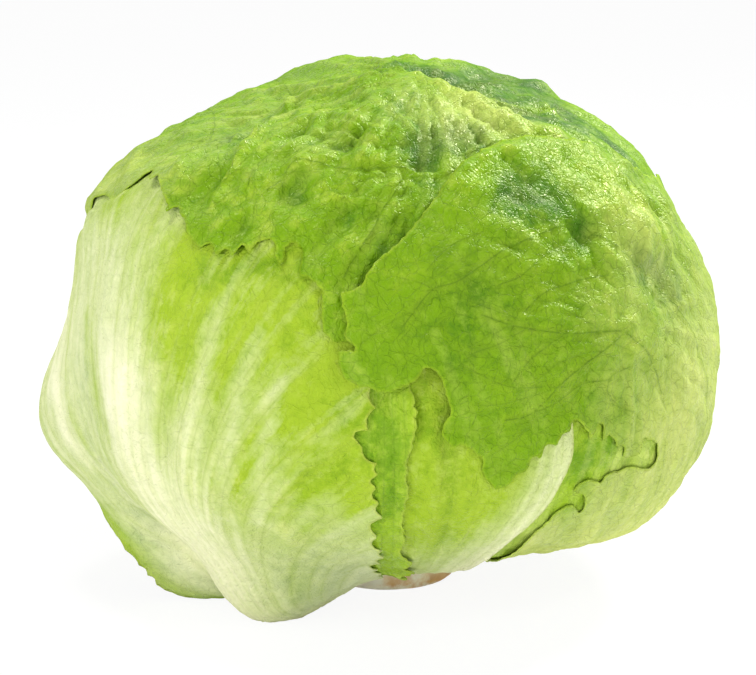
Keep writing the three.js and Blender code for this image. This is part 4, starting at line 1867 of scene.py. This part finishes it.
def revolved(profile, sides, wander, seed):
    """A solid turned from (radius, height) points, with an uneven skin."""
    even = resample(np.array(profile, float), step=None, count=PROFILE_POINTS)
    turn = np.arange(sides) / sides * 2 * math.pi
    rings = []
    for radius, height in even[1:-1]:
        rings.append(np.stack([np.sin(turn) * radius, -np.cos(turn) * radius, np.full(sides, height)], 1))
    points = np.vstack(rings + [[[0, 0, even[0, 1]]], [[0, 0, even[-1, 1]]]])
    flat = points * [1, 1, 0]
    bump = wander * (noise(points, 9, seed) + 0.5 * noise(points * [1, 1, 0.35], 3.2, seed + 1))
    points = points + flat / np.maximum(np.linalg.norm(flat, axis=1, keepdims=True), 1e-6) * bump[:, None]
    faces = []
    for row in range(len(rings) - 1):
        for i in range(sides):
            a = row * sides + i
            b = row * sides + (i + 1) % sides
            faces += [(a, b, b + sides), (a, b + sides, a + sides)]
    bottom = len(rings) * sides
    last = bottom - sides
    faces += [(bottom, (i + 1) % sides, i) for i in range(sides)]
    faces += [(bottom + 1, last + i, last + (i + 1) % sides) for i in range(sides)]
    return points - [0, 0, CENTRE_HEIGHT], np.array(faces)


def stem():
    """The cut butt with its collar, and the core that tapers up inside the head."""
    cut = [(0, 0.15), (15.4, 0.15), (16.6, 0.6), (17.2, 1.6)]
    collar = [(17.8, 5.4), (18, 9)]
    core = [(14, 18), (9.4, 31), (5.4, 35.3), (0, 36)]
    points, faces = revolved(cut + collar + core, STEM_SIDES, wander=0.35, seed=71)
    points[:, 2] = np.maximum(points[:, 2], -CENTRE_HEIGHT)
    made = new_object("stem_look", points, faces)
    made.data.materials.append(stem_material())
    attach(made, "root")
    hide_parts("stem")
    return made


HEART_RADIUS = 34
HEART_SCALE = 0.42


def heart():
    """The bud of small leaves still folded into one lump."""
    bpy.ops.mesh.primitive_ico_sphere_add(subdivisions=6, radius=1)
    ball = bpy.context.active_object
    ways = unit(np.array([v.co[:] for v in ball.data.vertices]))
    faces = np.array([p.vertices[:] for p in ball.data.polygons])
    bpy.data.objects.remove(ball)
    points = ways * HEART_RADIUS
    turn = np.degrees(np.arctan2(points[:, 0], points[:, 1]))
    folds = np.sin(np.radians(turn * 3 + points[:, 2] * 4)) * np.cos(np.arcsin(ways[:, 2]))
    radius = ball_radius(ways) * HEART_SCALE + 0.7 * folds + 0.9 * billows(points, 8, 77) - 0.8
    radius += 0.3 * noise(points, 3, 78)
    values = {
        "streaky": np.full(len(ways), 0.1),
        "pale": np.full(len(ways), 0.5),
        # Painted shade in the folds of the heart.
        "hollow_shade": np.clip(-folds, -1, 1),
        "inside": np.full(len(ways), 20.0),
    }
    made = new_object("heart_look", ways * radius[:, None], faces, values)
    made.data.materials.append(inner_leaf)
    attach(made, "root")
    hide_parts("heart")
    return made


# ---- Camera, lights and floor: lengths in mm, angles in degrees ----
CAMERA_TARGET = (-2.5, 0, 62.5)
CAMERA_DISTANCE = 750
CAMERA_RISE = 13
CAMERA_LENS = 140.1
SENSOR_WIDTH = 36

# (name, place, diameter, power in watts)
LIGHTS = [
    ("key", (400, 250, 590), 160, 5.2),
    ("front", (330, -460, 520), 140, 1.0),
    ("top", (-220, 40, 700), 130, 1.7),
    ("left", (-500, -460, 200), 260, 1.65),
    ("low", (160, -760, 50), 260, 1.0),
]
WORLD_FILL = 0.4

# The floor's half width in metres, its own shade, and how much of its white comes from its glow.
FLOOR_HALF = 3.0
FLOOR_SHADE = 0.94
FLOOR_GLOW = 1.04
GLOW_SHARE = 0.88


def mm(x, y, z):
    return Vector((x, y, z)) * SCALE


def aim(thing, target):
    thing.rotation_euler = (target - thing.location).to_track_quat("-Z", "Y").to_euler()


def add_camera():
    """In front of the head and a little above it, with a long lens."""
    target = mm(*CAMERA_TARGET)
    rise = math.radians(CAMERA_RISE)
    data = bpy.data.cameras.new("camera")
    data.sensor_width = SENSOR_WIDTH
    data.lens = CAMERA_LENS
    made = bpy.data.objects.new("camera", data)
    made.location = target + Vector((0, -math.cos(rise), math.sin(rise))) * CAMERA_DISTANCE * SCALE
    aim(made, target)
    bpy.context.scene.collection.objects.link(made)
    bpy.context.scene.camera = made


def add_light(name, place, size, power):
    """A round area light that faces the head."""
    data = bpy.data.lights.new(name, "AREA")
    data.shape = "DISK"
    data.size = size * SCALE
    data.energy = power
    made = bpy.data.objects.new(name, data)
    made.location = mm(*place)
    aim(made, mm(0, 0, CENTRE_HEIGHT))
    bpy.context.scene.collection.objects.link(made)


def seen_straight(tree):
    """1 for rays from the camera, mirrors and glass, which see the plain white background."""
    path = tree.nodes.new("ShaderNodeLightPath")
    total = path.outputs["Is Camera Ray"]
    for name in ("Is Glossy Ray", "Is Transmission Ray"):
        add = tree.nodes.new("ShaderNodeMath")
        add.operation = "MAXIMUM"
        tree.links.new(total, add.inputs[0])
        tree.links.new(path.outputs[name], add.inputs[1])
        total = add.outputs[0]
    return total


def add_world(fill):
    """Soft light from all round, and white where the camera looks past the object."""
    world = bpy.data.worlds.new("studio")
    bpy.context.scene.world = world
    world.use_nodes = True
    tree = world.node_tree
    back = tree.nodes["Background"]
    back.inputs["Color"].default_value = (1, 1, 1, 1)
    strength = tree.nodes.new("ShaderNodeMapRange")
    tree.links.new(seen_straight(tree), strength.inputs["Value"])
    strength.inputs["To Min"].default_value = fill
    strength.inputs["To Max"].default_value = 1.0
    tree.links.new(strength.outputs[0], back.inputs["Strength"])


def add_floor():
    """A plain pale floor that reads as white and keeps a soft shadow of the object."""
    n = Nodes("floor")
    n.shader.inputs["Base Color"].default_value = (FLOOR_SHADE, FLOOR_SHADE, FLOOR_SHADE, 1)
    n.shader.inputs["Roughness"].default_value = 0.7
    glow = n.add("ShaderNodeEmission", Color=(1, 1, 1, 1), Strength=FLOOR_GLOW)
    blend = n.add("ShaderNodeMixShader")
    n.put(blend.inputs[0], n.math("MULTIPLY", seen_straight(n.tree), GLOW_SHARE))
    n.tree.links.new(n.shader.outputs[0], blend.inputs[1])
    n.tree.links.new(glow.outputs[0], blend.inputs[2])
    n.tree.links.new(blend.outputs[0], n.tree.nodes["Material Output"].inputs["Surface"])
    mesh = bpy.data.meshes.new("floor")
    corners = [(x * FLOOR_HALF, y * FLOOR_HALF, 0) for x, y in ((-1, -1), (1, -1), (1, 1), (-1, 1))]
    mesh.from_pydata(corners, [], [(0, 1, 2, 3)])
    floor = bpy.data.objects.new("floor", mesh)
    mesh.materials.append(n.material)
    bpy.context.scene.collection.objects.link(floor)


# ---- The scene: the camera first, then the leaves from the outside in ----
add_camera()
bpy.context.scene.view_settings.view_transform = "Standard"
add_world(WORLD_FILL)
for light in LIGHTS:
    add_light(*light)
add_floor()

wrapper_right()
wrapper_crown()
wrapper_left()
front_frill_leaf()
front_base_leaf()
front_inner_leaf()
back_left_leaf()
back_right_leaf()
for number in range(INNER_LEAVES):
    nested_leaf(number)
heart()
stem()
